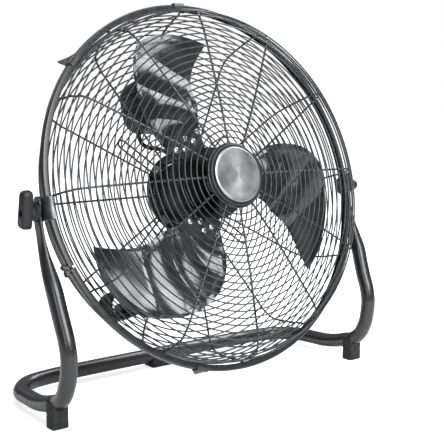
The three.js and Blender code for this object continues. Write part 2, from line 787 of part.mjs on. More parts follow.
function addImpeller(spinner, motor) {
  const armFront = hubPlane - bladeThickness / 2 - fitGap;
  const armBack = armFront - spiderThickness;
  const headBase = hubPlane + bladeThickness / 2 + fitGap + 0.9;
  const boss = bar(hubBossRadius, armBack - 12, hubPlane + 3, 20);
  const disc = bar(spiderRadius, armBack, armFront, 24);
  const arms = [];
  for (let k = 0; k < bladeCount; k++) {
    const line = bladePhase + (360 / bladeCount) * k;
    const outline = new THREE.Shape();
    const corners = [[20, -34], [spiderArmReach - 8, -22], [spiderArmReach, -12],
      [spiderArmReach + 3, 2], [spiderArmReach, 16], [spiderArmReach - 8, 26], [20, 38]];
    corners.forEach(([out, angle], i) => {
      const turn = radians(line + angle);
      const x = out * Math.cos(turn);
      const z = out * Math.sin(turn);
      if (i === 0) outline.moveTo(x, z);
      else outline.lineTo(x, z);
    });
    outline.closePath();
    arms.push(plate(outline, armBack, armFront, 4));
    for (const [out, angle] of rivets) {
      arms.push(crossHole(line + angle, out, rivetRadius, armFront - 0.5, headBase + 0.5));
      arms.push(crossHole(line + angle, out, rivetHeadRadius, headBase, headBase + 2));
    }
  }
  const bore = bar(shaftRadius + fitGap, armBack - 20, hubPlane + 10, 20);
  place(spinner, 'blade_spider', cut(joined(boss, disc, ...arms), bore), graphitePaint);

  for (let k = 0; k < bladeCount; k++) {
    const line = bladePhase + (360 / bladeCount) * k;
    const holes = rivets.map(([out, angle]) =>
      crossHole(angle, out, rivetRadius + fitGap, hubPlane - 8, hubPlane + 8));
    const blade = cut(bladeGeometry(6), ...holes);
    const geometry = geometryOf(blade).rotateY(-radians(line));
    place(spinner, `blade_${k + 1}`, geometry, graphitePaint);
  }

  const nutBack = hubPlane + 3 + fitGap;
  place(spinner, 'hub_nut', cut(
    turned([[0, nutBack], [11, nutBack], [11, nutBack + 3], [8.5, nutBack + 9], [0, nutBack + 9]], 6),
    bar(shaftRadius + fitGap, nutBack - 1, nutBack + 7, 20),
  ), zincPlate);
  place(spinner, 'motor_shaft', bar(shaftRadius, motor.rearSeat, nutBack + 6, 20), zincPlate);
  place(spinner, 'motor_rotor',
    tube(rotorRadius, shaftRadius + fitGap, motor.stackFrom, motor.stackTo, 32), laminatedSteel);
}

// ---------------------------------------------------------------- tilt pivots
function addPivots(head) {
  const rimAtPivot = Math.sqrt(rimRadius * rimRadius - axisRise * axisRise);
  const headInside = rimRadius + fitGap;
  const headOutside = headInside + boltHeadThickness;
  const plateInside = headOutside + fitGap;
  const plateOutside = plateInside + bracketThickness;
  const legInside = legTopSpread - pressedThickness / 2;
  const legOutside = legTopSpread + pressedThickness / 2;
  const hook = rimAhead + rimWidth / 2 + fitGap;
  const sides = [['left', -1], ['right', 1]];
  for (const [side, sign] of sides) {
    const outline = new THREE.Shape();
    const h = bracketHeight / 2;
    outline.moveTo(-hook - bracketThickness, -h + 4);
    outline.lineTo(bracketBehind - 8, -h + 4);
    outline.absarc(0, 0, bracketBehind, -Math.PI / 4, Math.PI / 2);
    outline.lineTo(-hook - bracketThickness, h);
    outline.closePath();
    const cheek = new THREE.ExtrudeGeometry(outline, { depth: bracketThickness, bevelEnabled: false, curveSegments: 8 });
    cheek.rotateX(Math.PI / 2).rotateZ(Math.PI / 2);
    cheek.translate(sign > 0 ? plateInside : -plateOutside, 0, 0);
    const lip = block(
      sign > 0 ? [rimAtPivot - rimDepth, plateOutside] : [-plateOutside, -rimAtPivot + rimDepth],
      [-hook - bracketThickness, -hook],
      [-h + 4, h],
    );
    const hole = crossBar(boltRadius + fitGap, sign * (rimRadius - 20), sign * (rimRadius + 20), 16);
    place(head, `pivot_bracket_${side}`, cut(joined(solid(cheek), lip), hole), blackPaint);

    place(head, `pivot_bolt_${side}`, joined(
      crossBar(boltRadius, sign * headInside, sign * (legOutside + 14), 12),
      crossBar(boltHeadRadius, sign * headInside, sign * headOutside, 12),
    ), zincPlate);

    const washerAt = [plateOutside + fitGap, legInside - fitGap];
    place(head, `pivot_washer_${side}`, cut(
      crossBar(12, sign * washerAt[0], sign * washerAt[1], 24),
      crossBar(boltRadius + fitGap, sign * (rimRadius - 20), sign * (rimRadius + 30), 16),
    ), blackPlastic);
  }
  return legOutside;
}

function tiltKnob(sign, legOutside) {
  const start = legOutside + 0.5;
  const collar = crossBar(knobWidth * 0.9, start, start + knobCollar, 24);
  const wing = new THREE.ExtrudeGeometry(roundedRectangle(knobWidth, knobLength, knobWidth * 0.42), {
    depth: knobDepth, bevelEnabled: true, bevelThickness: 1.5, bevelSize: 1.5, bevelOffset: -1.5,
    bevelSegments: 1, curveSegments: 3,
  });
  wing.rotateX(Math.PI / 2).rotateZ(Math.PI / 2);
  wing.translate(start + knobCollar - 0.5 + 1.5, 0, 0);
  const end = start + knobCollar + knobDepth + 3;
  const knob = cut(
    joined(collar, wing),
    crossBar(boltRadius + fitGap, start - 1, start + 14.5, 16),
    crossBar(4.2, end - 4, end + 4, 12),
  );
  const geometry = geometryOf(knob);
  if (sign < 0) geometry.rotateZ(Math.PI);
  return geometry;
}

// ---------------------------------------------------------------- switch box
const atFan = (x, ahead, z) => new THREE.Vector3(x, -ahead, z);

// Round bar along Z.
function upright(radius, x, ahead, from, to, segments) {
  return new THREE.CylinderGeometry(radius, radius, to - from, segments)
    .rotateX(Math.PI / 2).translate(x, -ahead, (from + to) / 2);
}

function boxPlate(inset, from, to) {
  const { x, z, width, height, corner } = switchBox;
  const outline = roundedRectangle(width - 2 * inset, height - 2 * inset, corner - inset);
  return plate(outline, from, to, 5).translate(x, 0, z);
}

const boxFront = -rearFaceBehind - heavyWire - fitGap;
const boxBack = boxFront - switchBox.depth;
const leadRoute = [
  [-46, -82, 106], [-46, -82, 98], [-46, -82, 90], [-42, -81, 81], [-32, -79, 75.5], [-20, -77, 73],
  [-8, -74, 66.5], [-1.5, -leadBehind - 0.5, 58], [0, -leadBehind, 51], [0, -leadBehind, 42.5],
];

function addSwitch(parent) {
  const { x, z, wall } = switchBox;
  const [leadX, leadAhead, leadZ] = leadRoute[1];
  place(parent, 'switch_box', cut(
    boxPlate(0, boxBack, boxFront),
    boxPlate(wall, boxBack + wall, boxFront + 1),
    crossBore(3.6, x, z, boxBack - 1, boxBack + wall + 1),
    upright(leadRadius + fitGap, leadX, leadAhead, leadZ - 12, leadZ + 14, 12),
  ), blackPlastic);
  place(parent, 'switch_box_lid', boxPlate(wall + fitGap, boxFront - 2.2, boxFront), blackPlastic);
  const switchFront = boxBack + wall + fitGap + 18;
  place(parent, 'speed_switch', joined(
    block([x - 14, x + 14], [-switchFront, -switchFront + 18], [z - 14, z + 14]),
    crossBore(3.2, x, z, boxBack - speedKnobDepth + 3, switchFront - 9),
  ), blackPlastic);
  place(parent, 'motor_lead',
    swept(smooth(leadRoute.map((at) => atFan(...at))), leadRadius, 8, 20), cordSheath);
}

// Round bar parallel to the fan's axis at x, z.
function crossBore(radius, x, z, from, to) {
  return new THREE.CylinderGeometry(radius, radius, to - from, 14).translate(x, -(from + to) / 2, z);
}

function speedKnob() {
  const pointer = block([-2.2, 2.2], [0.5, speedKnobDepth + 1.2], [0, speedKnobRadius - 1]);
  const body = new THREE.CylinderGeometry(speedKnobRadius - 2, speedKnobRadius, speedKnobDepth, 20)
    .translate(0, speedKnobDepth / 2, 0);
  return cut(joined(body, pointer), new THREE.CylinderGeometry(3.5, 3.5, 2 * speedKnobDepth - 4, 14));
}

// ---------------------------------------------------------------- mains cord
// Folded in a hank behind the rear guard. Its long axis is u, across it is v.
const hankFront = -rearFaceBehind - ringWire - hank.standOff;
const hankBack = hankFront - cordLayers * 2 * cordRadius;
const hankHeight = 2 * (foldRadius + cordRadius);

function onHank(u, v, ahead) {
  const turn = radians(hank.slope);
  return atFan(
    hank.x + u * Math.cos(turn) - v * Math.sin(turn), ahead, hank.z + u * Math.sin(turn) + v * Math.cos(turn),
  );
}

const alongHank = (geometry) => turnedAbout(geometry, hank.slope).translate(hank.x, 0, hank.z);

const cordExit = -motorRadius - fitGap - glandLength;
const cordRoute = [
  atFan(0, -leadBehind, cordExit - fitGap), atFan(0, -leadBehind, cordExit - 8),
  atFan(-0.5, -leadBehind - 1, cordExit - 16), atFan(-3, -leadBehind - 3, cordExit - 24),
  atFan(-8, -leadBehind - 6, cordExit - 31),
];
const tailRoute = [
  onHank(52, -foldRadius, hankBack - cordRadius - 1.2), onHank(44, -foldRadius + 0.5, hankBack - cordRadius - 2.5),
  onHank(34, -foldRadius + 3, hankBack - cordRadius - 6), onHank(24, -foldRadius + 5, hankBack - cordRadius - 8.2),
];

function addCord(parent) {
  const bore = upright(cordRadius + fitGap, 0, -leadBehind, cordExit - 1, -motorRadius + 6, 12);
  const collar = -motorRadius - fitGap;
  const taper = new THREE.CylinderGeometry(6.4, 4.4, glandLength - 2, 12)
    .rotateX(Math.PI / 2).translate(0, leadBehind, collar - 2 - (glandLength - 2) / 2);
  place(parent, 'cord_gland', cut(joined(
    upright(7.5, 0, -leadBehind, collar - 2.5, collar, 16),
    upright(5, 0, -leadBehind, collar - 1, -motorRadius + motorWall + 0.8, 12),
    taper,
  ), bore), blackRubber);
  place(parent, 'cord_lead', swept(smooth(cordRoute), cordRadius, 10, 5), cordSheath);

  const length = hankRun + hankHeight;
  place(parent, 'cord_hank', alongHank(
    plate(roundedRectangle(length, hankHeight, hankHeight / 2), hankBack, hankFront, 8),
  ), cordSheath);

  const front = -rearFaceBehind + drop + heavyWire + fitGap;
  const high = hankHeight / 2 + fitGap;
  const deep = [hankBack - fitGap, front];
  const across = (grow) => block(
    [-tieWidth / 2, tieWidth / 2], [-deep[1] - grow, -deep[0] + grow], [-high - grow, high + grow],
  );
  const through = block([-tieWidth, tieWidth], [-deep[1], -deep[0]], [-high, high]);
  const lock = block([-3.5, 3.5], [-deep[0] - 0, -deep[0] + 5], [high - 14, high - 7]);
  place(parent, 'cord_tie',
    geometryOf(cut(joined(across(tieThickness), lock), through)).rotateY(-radians(hank.slope))
      .translate(hank.x, 0, hank.z), blackPlastic);

  place(parent, 'cord_tail', swept(smooth(tailRoute), cordRadius, 10, 6), cordSheath);
  const plugBack = hankBack - fitGap - tieThickness - 1;
  const { long, wide, deep: thick } = plugSize;
  const middle = plugBack - thick / 2;
  const plugV = -foldRadius + 5;
  const plugEnd = 24 - 5 * fitGap - 10;
  const body = plate(roundedRectangle(long, wide, 7), middle - thick / 2, middle + thick / 2, 4)
    .translate(plugEnd - long / 2, 0, plugV);
  const neck = crossBar(5.2, plugEnd - 4, plugEnd + 10, 12).translate(0, -middle, plugV);
  const blades = [-6.35, 6.35].map((side) => block(
    [plugEnd - long - 16, plugEnd - long + 2], [-middle + side - 0.8, -middle + side + 0.8], [plugV - 3, plugV + 3],
  ));
  const earth = crossBar(2.4, plugEnd - long - 18, plugEnd - long + 2, 12).translate(0, -middle, plugV - 9);
  place(parent, 'plug', alongHank(geometryOf(joined(body, neck, ...blades, earth))), blackPlastic);
}

export const fan = new THREE.Group();
const standGroup = new THREE.Group();
const headGroup = new THREE.Group();
headGroup.position.z = pivotHeight;
headGroup.rotation.x = -radians(headTilt);
const fanGroup = new THREE.Group();
fanGroup.position.z = axisRise;
headGroup.add(fanGroup);
fan.add(standGroup, headGroup);

addStand(standGroup);
addRim(fanGroup);
addClips(fanGroup);
addFrontGuard(fanGroup);
addRearGuard(fanGroup);
addCap(fanGroup);
const motor = addMotor(fanGroup);
addMotorMount(fanGroup);
addImpeller(fanGroup, motor);
const legOutside = addPivots(headGroup);
for (const [name, sign] of [['tilt_knob_left', -1], ['tilt_knob_right', 1]]) {
  const knob = place(standGroup, name, tiltKnob(sign, legOutside), blackPlastic);
  knob.position.z = pivotHeight;
}
addSwitch(fanGroup);
place(fanGroup, 'speed_knob', speedKnob(), blackPlastic)
  .position.set(switchBox.x, -boxBack + 0.6, switchBox.z);
addCord(fanGroup);

// stands on z = 0, centred over the origin
const bounds = new THREE.Box3().setFromObject(fan, true);
fan.position.y = -(bounds.min.y + bounds.max.y) / 2;

export default fan;
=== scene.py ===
"""Looks of a high-velocity floor fan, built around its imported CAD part.

Settings are in metres and the shapes below in millimetres. Along the fan's own axis, lengths
are called "ahead": positive towards the front guard, measured from the tilt pivot.
"""

import json
import math

import bmesh
import bpy
from mathutils import Matrix, Vector


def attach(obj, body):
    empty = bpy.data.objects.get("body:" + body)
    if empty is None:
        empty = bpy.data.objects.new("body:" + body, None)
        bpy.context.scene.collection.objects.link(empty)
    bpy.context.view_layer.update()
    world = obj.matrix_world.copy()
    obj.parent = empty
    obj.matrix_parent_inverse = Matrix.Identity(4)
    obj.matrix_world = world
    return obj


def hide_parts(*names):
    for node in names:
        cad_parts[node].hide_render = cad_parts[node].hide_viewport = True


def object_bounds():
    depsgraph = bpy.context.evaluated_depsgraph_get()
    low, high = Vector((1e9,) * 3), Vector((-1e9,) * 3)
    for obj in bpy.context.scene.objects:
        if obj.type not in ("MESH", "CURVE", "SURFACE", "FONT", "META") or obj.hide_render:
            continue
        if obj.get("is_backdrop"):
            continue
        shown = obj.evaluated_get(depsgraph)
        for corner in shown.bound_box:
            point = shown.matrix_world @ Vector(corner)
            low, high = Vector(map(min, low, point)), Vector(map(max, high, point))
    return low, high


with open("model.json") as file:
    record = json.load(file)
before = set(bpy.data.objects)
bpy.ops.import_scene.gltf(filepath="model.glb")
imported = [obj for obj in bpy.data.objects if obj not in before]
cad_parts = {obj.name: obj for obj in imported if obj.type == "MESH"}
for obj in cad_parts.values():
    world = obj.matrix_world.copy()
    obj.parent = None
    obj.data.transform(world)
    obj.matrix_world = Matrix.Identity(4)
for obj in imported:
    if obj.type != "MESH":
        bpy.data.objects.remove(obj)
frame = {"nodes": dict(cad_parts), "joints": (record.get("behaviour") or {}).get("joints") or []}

bl_info = {
    "name": "Floor Fan Looks",
    "version": (1, 0, 0),
    "blender": (4, 5, 0),
    "location": "View3D > Sidebar > Floor Fan",
    "description": "Builds the visible pieces and finishes of a high-velocity floor fan",
    "category": "Object",
}

MM = 0.001
WELD_DISTANCE = 2e-6
X, Y, Z = Vector((1, 0, 0)), Vector((0, 1, 0)), Vector((0, 0, 1))

# ---------------------------------------------------------------- places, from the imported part
JOINTS = {joint["name"]: joint for joint in frame["joints"]}
PIVOT = Vector(JOINTS["head_tilt"]["pos_m"])
AHEAD = Vector(JOINTS["fan_spin"]["axis"]).normalized()
HUB = Vector(JOINTS["fan_spin"]["pos_m"])
AXIS_POINT = HUB + AHEAD * (PIVOT - HUB).dot(AHEAD)


def axes_at(origin):
    """Matrix whose local X is the fan's width, -Y its blowing direction and Z square to both."""
    turn = Matrix((X, -AHEAD, X.cross(-AHEAD))).transposed().to_4x4()
    return Matrix.Translation(origin) @ turn @ Matrix.Scale(MM, 4)


HEAD_FRAME, TILT_FRAME = axes_at(AXIS_POINT), axes_at(PIVOT)
STAND_FRAME = Matrix.Translation((PIVOT.x, PIVOT.y, 0)) @ Matrix.Scale(MM, 4)


def on_axes(origin, *axes):
    """Placing function: a point from its distance along each of three axes."""
    return lambda *steps: sum((axis * step for axis, step in zip(axes, steps)), Vector(origin))


def about(origin, *axes):
    """Placing function round the third axis: radius, angle from the first axis, distance."""
    place = on_axes(origin, *axes)
    return lambda radius, angle, distance: place(
        radius * math.cos(math.radians(angle)), radius * math.sin(math.radians(angle)), distance)


on_fan = about((0, 0, 0), X, Z, -Y)


def at_angle(angle):
    """Placing function at an angle on the fan: distance outwards, ahead and across."""
    return on_axes((0, 0, 0), on_fan(1, angle, 0), -Y, on_fan(1, angle + 90, 0))


# ---------------------------------------------------------------- sizes of the pieces, in mm
CLEAR = 0.3  # between neighbouring pieces
TUBE_RADIUS = 11.0
LEG_TOP_SPREAD, LEG_INSET, LEG_LEAN, LEG_TOP = 271.5, 6.0, 63.0, 20.0
PRESSED_THICKNESS, PRESSED_WIDTH = 5.0, 18.0
PRESSED_START, PRESSED_FULL, PRESSED_SQUEEZE = 95.0, 28.0, 0.62
RAIL_HEIGHT, CROSSBAR_HEIGHT = 32.0, 17.0
FRONT_FOOT_AHEAD, CROSSBAR_BEHIND, CORNER_REACH = 28.0, 133.0, 46.0
LEG_SPREAD = LEG_TOP_SPREAD - LEG_INSET
PIVOT_HEIGHT = PIVOT.z / MM
# the leg, as shares of its inset, its lean and its height over the rail
LEG_BENDS = (
    (0, 0, 0.97), (0.15, 0.13, 0.86), (0.3, 0.265, 0.766), (0.35, 0.405, 0.684), (0.4, 0.555, 0.603),
    (0.57, 0.67, 0.521), (0.77, 0.79, 0.44), (0.87, 0.925, 0.358), (0.95, 0.99, 0.277),
    (1, 0.965, 0.196), (0.97, 0.905, 0.134), (1, 0.73, 0.053),
)
# the side rail, as shares of the corner's reach, the way to the crossbar and the drop
RAIL_BENDS = ((0, 0, 0), (0, 0.056, 0.13), (0, 0.18, 0.53), (0.02, 0.348, 0.87), (0.065, 0.547, 0.96))
# the corner, as shares of its reach inwards and short of the crossbar
CORNER_BENDS = ((0.13, 1), (0.5, 0.467), (0.86, 0.24), (1.4, 0.11), (2.08, 0.04))
FOOT_WIDE, FOOT_DEEP, FOOT_HIGH, FOOT_CORNER = 24.0, 20.0, 37.0, 3.5

RIM_RADIUS, RIM_WIDTH, RIM_DEPTH, RIM_WALL, RIM_AHEAD = 265.0, 10.0, 8.5, 1.4, 9.4
RIM_FRONT, RIM_BACK = RIM_AHEAD + RIM_WIDTH / 2, RIM_AHEAD - RIM_WIDTH / 2
RIM_BEND, RIM_INNER_BEND = 2.2, 0.9
# the pivot stack, outwards from the rim: bracket, washer, pressed leg, then knob or cap nut
AXIS_RISE = 17.2
BRACKET_SHEET, BRACKET_HIGH, BRACKET_REAR, BOLT_RADIUS, BOLT_BEYOND = 2.5, 34.0, 15.0, 4.0, 14.0
BRACKET_INSIDE = RIM_RADIUS + CLEAR
BRACKET_OUTSIDE = BRACKET_INSIDE + BRACKET_SHEET
LEG_INSIDE, LEG_OUTSIDE = LEG_TOP_SPREAD - PRESSED_THICKNESS / 2, LEG_TOP_SPREAD + PRESSED_THICKNESS / 2
KNOB_LONG, KNOB_WIDE, KNOB_DEEP, KNOB_WING, KNOB_COLLAR, KNOB_BORE = 50.0, 21.0, 21.5, 13.5, 12.5, 4.3
KNOB_OFFSET, KNOB_LEAN = 4.0, math.radians(10)
KNOB_INSIDE = LEG_OUTSIDE + 0.5
KNOB_OUTSIDE = KNOB_INSIDE + KNOB_DEEP
CAP_NUT_RADIUS = 8.2

CLAMP_ANGLE, CLAMP_GAP, EAR_THICKNESS, EAR_HEIGHT, EAR_CORNER = 201.0, 3.0, 2.5, 8.0, 3.0
# each clip's angle, and how far its lever reaches back and rises
CLIPS = {
    "clip_top": (91.0, 13.0, 2.0), "clip_upper_left": (137.0, 20.0, 6.0),
    "clip_bottom": (254.0, 7.0, 3.0),
}
CLIP_WIDE, CLIP_SHEET = 18.0, 1.4

RING_WIRE, HEAVY_WIRE, WELD_SINK = 1.1, 1.5, 0.6
SPOKES, RING_SEGMENTS, SMALL_RING_SEGMENTS = 12, 144, 96
CAP_RADIUS, CAP_AHEAD, CAP_STEP = 43.0, 76.0, 4.0
FACE_AHEAD, SHOULDER_AHEAD, SHOULDER_INSET = 68.0, 50.0, 21.0
REAR_FACE_BEHIND, REAR_SHOULDER_INSET = 60.0, 25.0
MOUNT_RING_RADIUS, MOUNT_SPOKE_REACH, MOUNT_SPOKE_GAP = 52.0, 128.0, 6.0
MOUNT_ANGLES = (-40, 40, 140, 220)
DROP = RING_WIRE + HEAVY_WIRE - WELD_SINK
MOUTH = RIM_RADIUS - RIM_DEPTH - HEAVY_WIRE - 2
EDGE_RADIUS = RIM_RADIUS - 5
EDGE_OFFSET = HEAVY_WIRE + 0.45

BLADES, BLADE_COLUMNS, PANEL_ROWS = 3, 48, 20
BLADE_THICKNESS, HUB_PLANE = 1.5, 20.0
BLADE_REACH, BLADE_LONG = 223.0, 165.0
# edges as shares of the reach, degrees, and shares of the reach ahead of the hub plane
LEADING_EDGE = (
    (0.251, -20, 0), (0.386, -22, 0.0045), (0.502, -27.5, -0.009), (0.628, -28.5, -0.045),
    (0.74, -32, -0.076), (0.852, -37, -0.09), (0.951, -41, -0.083),
)
TRAILING_EDGE = (
    (0.251, 24, 0), (0.386, 26, 0.0045), (0.516, 24.5, 0.036), (0.65, 19.2, 0.07),
    (0.771, 12.5, 0.083), (0.897, 3.5, 0.043), (1, -9, -0.067),
)
TIP_BULGE, BLADE_CAMBER, SPIDER_REACH, SPIDER_SHEET = 8.5, 7.0, 84.0, 2.5
PRESSED_STEPS = ((0.11, 0.48), (0.29, 0.74), (0.57, 0.96))
PRESS_HEIGHT, CREASE_LIFT = 4.2, (0.0, -1.0, -2.5, -4.0, 0.5)
SWELL = 2.6  # brings the greatest value of share - share ** 3 to 1
FLANGE_WIDE, FLANGE_ROLL, BEAD_HIGH, BEAD_WIDE = 9.0, 0.14, 0.5, 2.0
RIVETS = ((76, -17), (66, -6), (76, 2), (66, 11), (76, 20))

MOTOR_RADIUS, MOTOR_WALL, MOTOR_FRONT, MOTOR_SPLIT, MOTOR_BACK = 47.0, 1.4, -4.0, -48.0, -86.0
SHAFT_RADIUS, BEARING_RADIUS, BEARING_WIDTH, BEARING_SEAT = 6.0, 14.0, 9.0, 17.0
BEARING_BACK = MOTOR_BACK + 3.8
END_RIBS, RIB_MIDDLE, RIB_LONG, RIB_WIDE = 8, 24.0, 16.0, 4.4
MOUNT_PLATE_THICKNESS = 2.5
MOUNT_SCREW_CIRCLE, MOUNT_PLATE_RADIUS = MOUNT_RING_RADIUS + 4, MOUNT_RING_RADIUS + 10
LEAD_BEHIND, LEAD_RADIUS = 72.5, 3.2
CORD_RADIUS, CORD_LAYERS, HANK_RUN = 3.0, 6, 90.0
FOLD_RADIUS = 6 * CORD_RADIUS
HANK_X, HANK_Z, HANK_SLOPE, HANK_STAND_OFF = -89.5, -139.4, 12.0, 0.6
HANK_ALONG, HANK_UP = on_fan(1, HANK_SLOPE, 0), on_fan(1, HANK_SLOPE + 90, 0)
HANK_FRONT = -REAR_FACE_BEHIND - RING_WIRE - HANK_STAND_OFF
HANK_BACK = HANK_FRONT - CORD_LAYERS * 2 * CORD_RADIUS
HALF_RUN = HANK_RUN / 2
GLAND_LENGTH = 30.0
GLAND_TOP = -MOTOR_RADIUS - CLEAR
CORD_EXIT = GLAND_TOP - GLAND_LENGTH
PLUG_LONG, PLUG_WIDE, PLUG_DEEP, PIN_SPREAD, PIN_SHEET = 38.0, 25.0, 23.0, 6.35, 1.6
TIE_WIDE, TIE_SHEET, TIE_LOCK = 5.0, 1.1, 7.0
PLUG_U, PLUG_V, PLUG_AHEAD = 12.5, -FOLD_RADIUS + 5, HANK_BACK - 2.5 - PLUG_DEEP / 2
BOX_X, BOX_Z, BOX_WIDTH, BOX_HEIGHT, BOX_CORNER, BOX_DEPTH = -21.0, 138.0, 84.0, 78.0, 26.0, 34.0
CASE_SCREW_ACROSS, CASE_SCREW_UP = 24.48, 20.4
SPEED_KNOB_DEPTH, SPEED_KNOB_SIDES, FLUTE_DEPTH = 13.0, 72, 0.35
LEAD_ROUTE = (
    (-46, -82, 106), (-46, -82, 98), (-46, -82, 90), (-42, -81, 81), (-32, -79, 75.5),
    (-20, -77, 73), (-8, -74, 66.5), (-1.5, -73, 58), (0, -72.5, 51), (0, -72.5, 42.5),
)


# ---------------------------------------------------------------- settings a user would change
class FloorFanSettings(bpy.types.PropertyGroup):
    """Sizes and colours of the floor fan's looks."""

    ring_pitch: bpy.props.FloatProperty(
        name="Ring pitch", description="Distance between neighbouring guard rings along the guard",
        default=0.0095, min=0.004, max=0.04, subtype="DISTANCE", unit="LENGTH")
    ring_sides: bpy.props.IntProperty(
        name="Wire sides", description="Sides of each guard wire's section", default=8, min=3, max=24)
    powder_colour: bpy.props.StringProperty(
        name="Stand and rim colour", description="Powder coat of the stand and rim, sRGB hex",
        default="#141517", maxlen=7)
    wire_colour: bpy.props.StringProperty(
        name="Guard wire colour", description="Coating of the guard wires, sRGB hex",
        default="#242628", maxlen=7)
    blade_colour: bpy.props.StringProperty(
        name="Blade colour", description="Enamel of the pressed blades, sRGB hex",
        default="#48494B", maxlen=7)
    plastic_colour: bpy.props.StringProperty(
        name="Plastic colour", description="Moulded knobs, switch box and cap holder, sRGB hex",
        default="#131416", maxlen=7)
    floor_colour: bpy.props.StringProperty(
        name="Floor colour", description="Plain studio floor, sRGB hex", default="#F4F4F4", maxlen=7)
    camera_azimuth: bpy.props.FloatProperty(
        name="Camera azimuth", description="Turn of the camera round the fan",
        default=math.radians(-37.69), subtype="ANGLE", unit="ROTATION")
    camera_elevation: bpy.props.FloatProperty(
        name="Camera elevation", description="Height of the camera over the horizon",
        default=math.radians(7.88), subtype="ANGLE", unit="ROTATION")
    camera_distance: bpy.props.FloatProperty(
        name="Camera distance", description="From the camera to the point it looks at",
        default=1.4416, min=0.3, max=20, subtype="DISTANCE", unit="LENGTH")
    camera_target: bpy.props.FloatVectorProperty(
        name="Camera target", description="Point the camera looks at",
        default=(0.0238, -0.02015, 0.2423), size=3, subtype="XYZ", unit="LENGTH")
    camera_lens: bpy.props.FloatProperty(
        name="Camera lens", description="Focal length on a 36 mm sensor", default=80.4, min=20,
        max=300, subtype="DISTANCE_CAMERA")


def settings():
    return bpy.context.scene.floor_fan


# ---------------------------------------------------------------- lines and outlines
def smoothstep(value, low, high):
    share = min(1.0, max(0.0, (value - low) / (high - low)))
    return share * share * (3 - 2 * share)


def smooth_point(points, share):
    """Point of a centripetal Catmull-Rom line at a share of its control points."""
    count = len(points)
    at = (count - 1) * share
    first = min(int(math.floor(at)), count - 2)
    weight = at - first
    p1, p2 = points[first], points[first + 1]
    p0 = points[first - 1] if first > 0 else p1 * 2 - p2
    p3 = points[first + 2] if first + 2 < count else p2 * 2 - p1
    d0, d1, d2 = ((b - a).length ** 0.5 for a, b in ((p0, p1), (p1, p2), (p2, p3)))
    d1 = max(d1, 1e-4)
    d0, d2 = (d if d > 1e-4 else d1 for d in (d0, d2))
    t1 = ((p1 - p0) / d0 - (p2 - p0) / (d0 + d1) + (p2 - p1) / d1) * d1
    t2 = ((p2 - p1) / d1 - (p3 - p1) / (d1 + d2) + (p3 - p2) / d2) * d1
    c2, c3 = p1 * -3 + p2 * 3 - t1 * 2 - t2, p1 * 2 - p2 * 2 + t1 + t2
    return p1 + t1 * weight + c2 * weight**2 + c3 * weight**3


def smooth_line(points, steps):
    """The line's own points at even shares, for walking along it by length."""
    points = [Vector(p) for p in points]
    return [smooth_point(points, i / steps) for i in range(steps + 1)]


def at_length(line, distance):
    """Point and direction at a distance along a line of close points."""
    for a, b in zip(line, line[1:]):
        step = (b - a).length
        if distance <= step:
            return a + (b - a) * (distance / step), (b - a).normalized()
        distance -= step
    return line[-1].copy(), (line[-1] - line[-2]).normalized()


def length_of(line):
    return sum((b - a).length for a, b in zip(line, line[1:]))


def evenly(line, count):
    total = length_of(line)
    return [at_length(line, total * i / count)[0] for i in range(count + 1)]


def arc(x, y, radius, start, end, steps):
    """Points round a centre, from one angle to another."""
    turns = [math.radians(start + (end - start) * i / steps) for i in range(steps + 1)]
    return [(x + radius * math.cos(turn), y + radius * math.sin(turn)) for turn in turns]


def raised(seat, *profile):
    """A profile whose distances are given from a seat."""
    return [(radius, seat + distance) for radius, distance in profile]


def rounded_rectangle(width, height, corner, steps):
    u, v = width / 2 - corner, height / 2 - corner
    corners = ((u, -v, -90), (u, v, 0), (-u, v, 90), (-u, -v, 180))
    return [point for x, y, start in corners for point in arc(x, y, corner, start, start + 90, steps)]


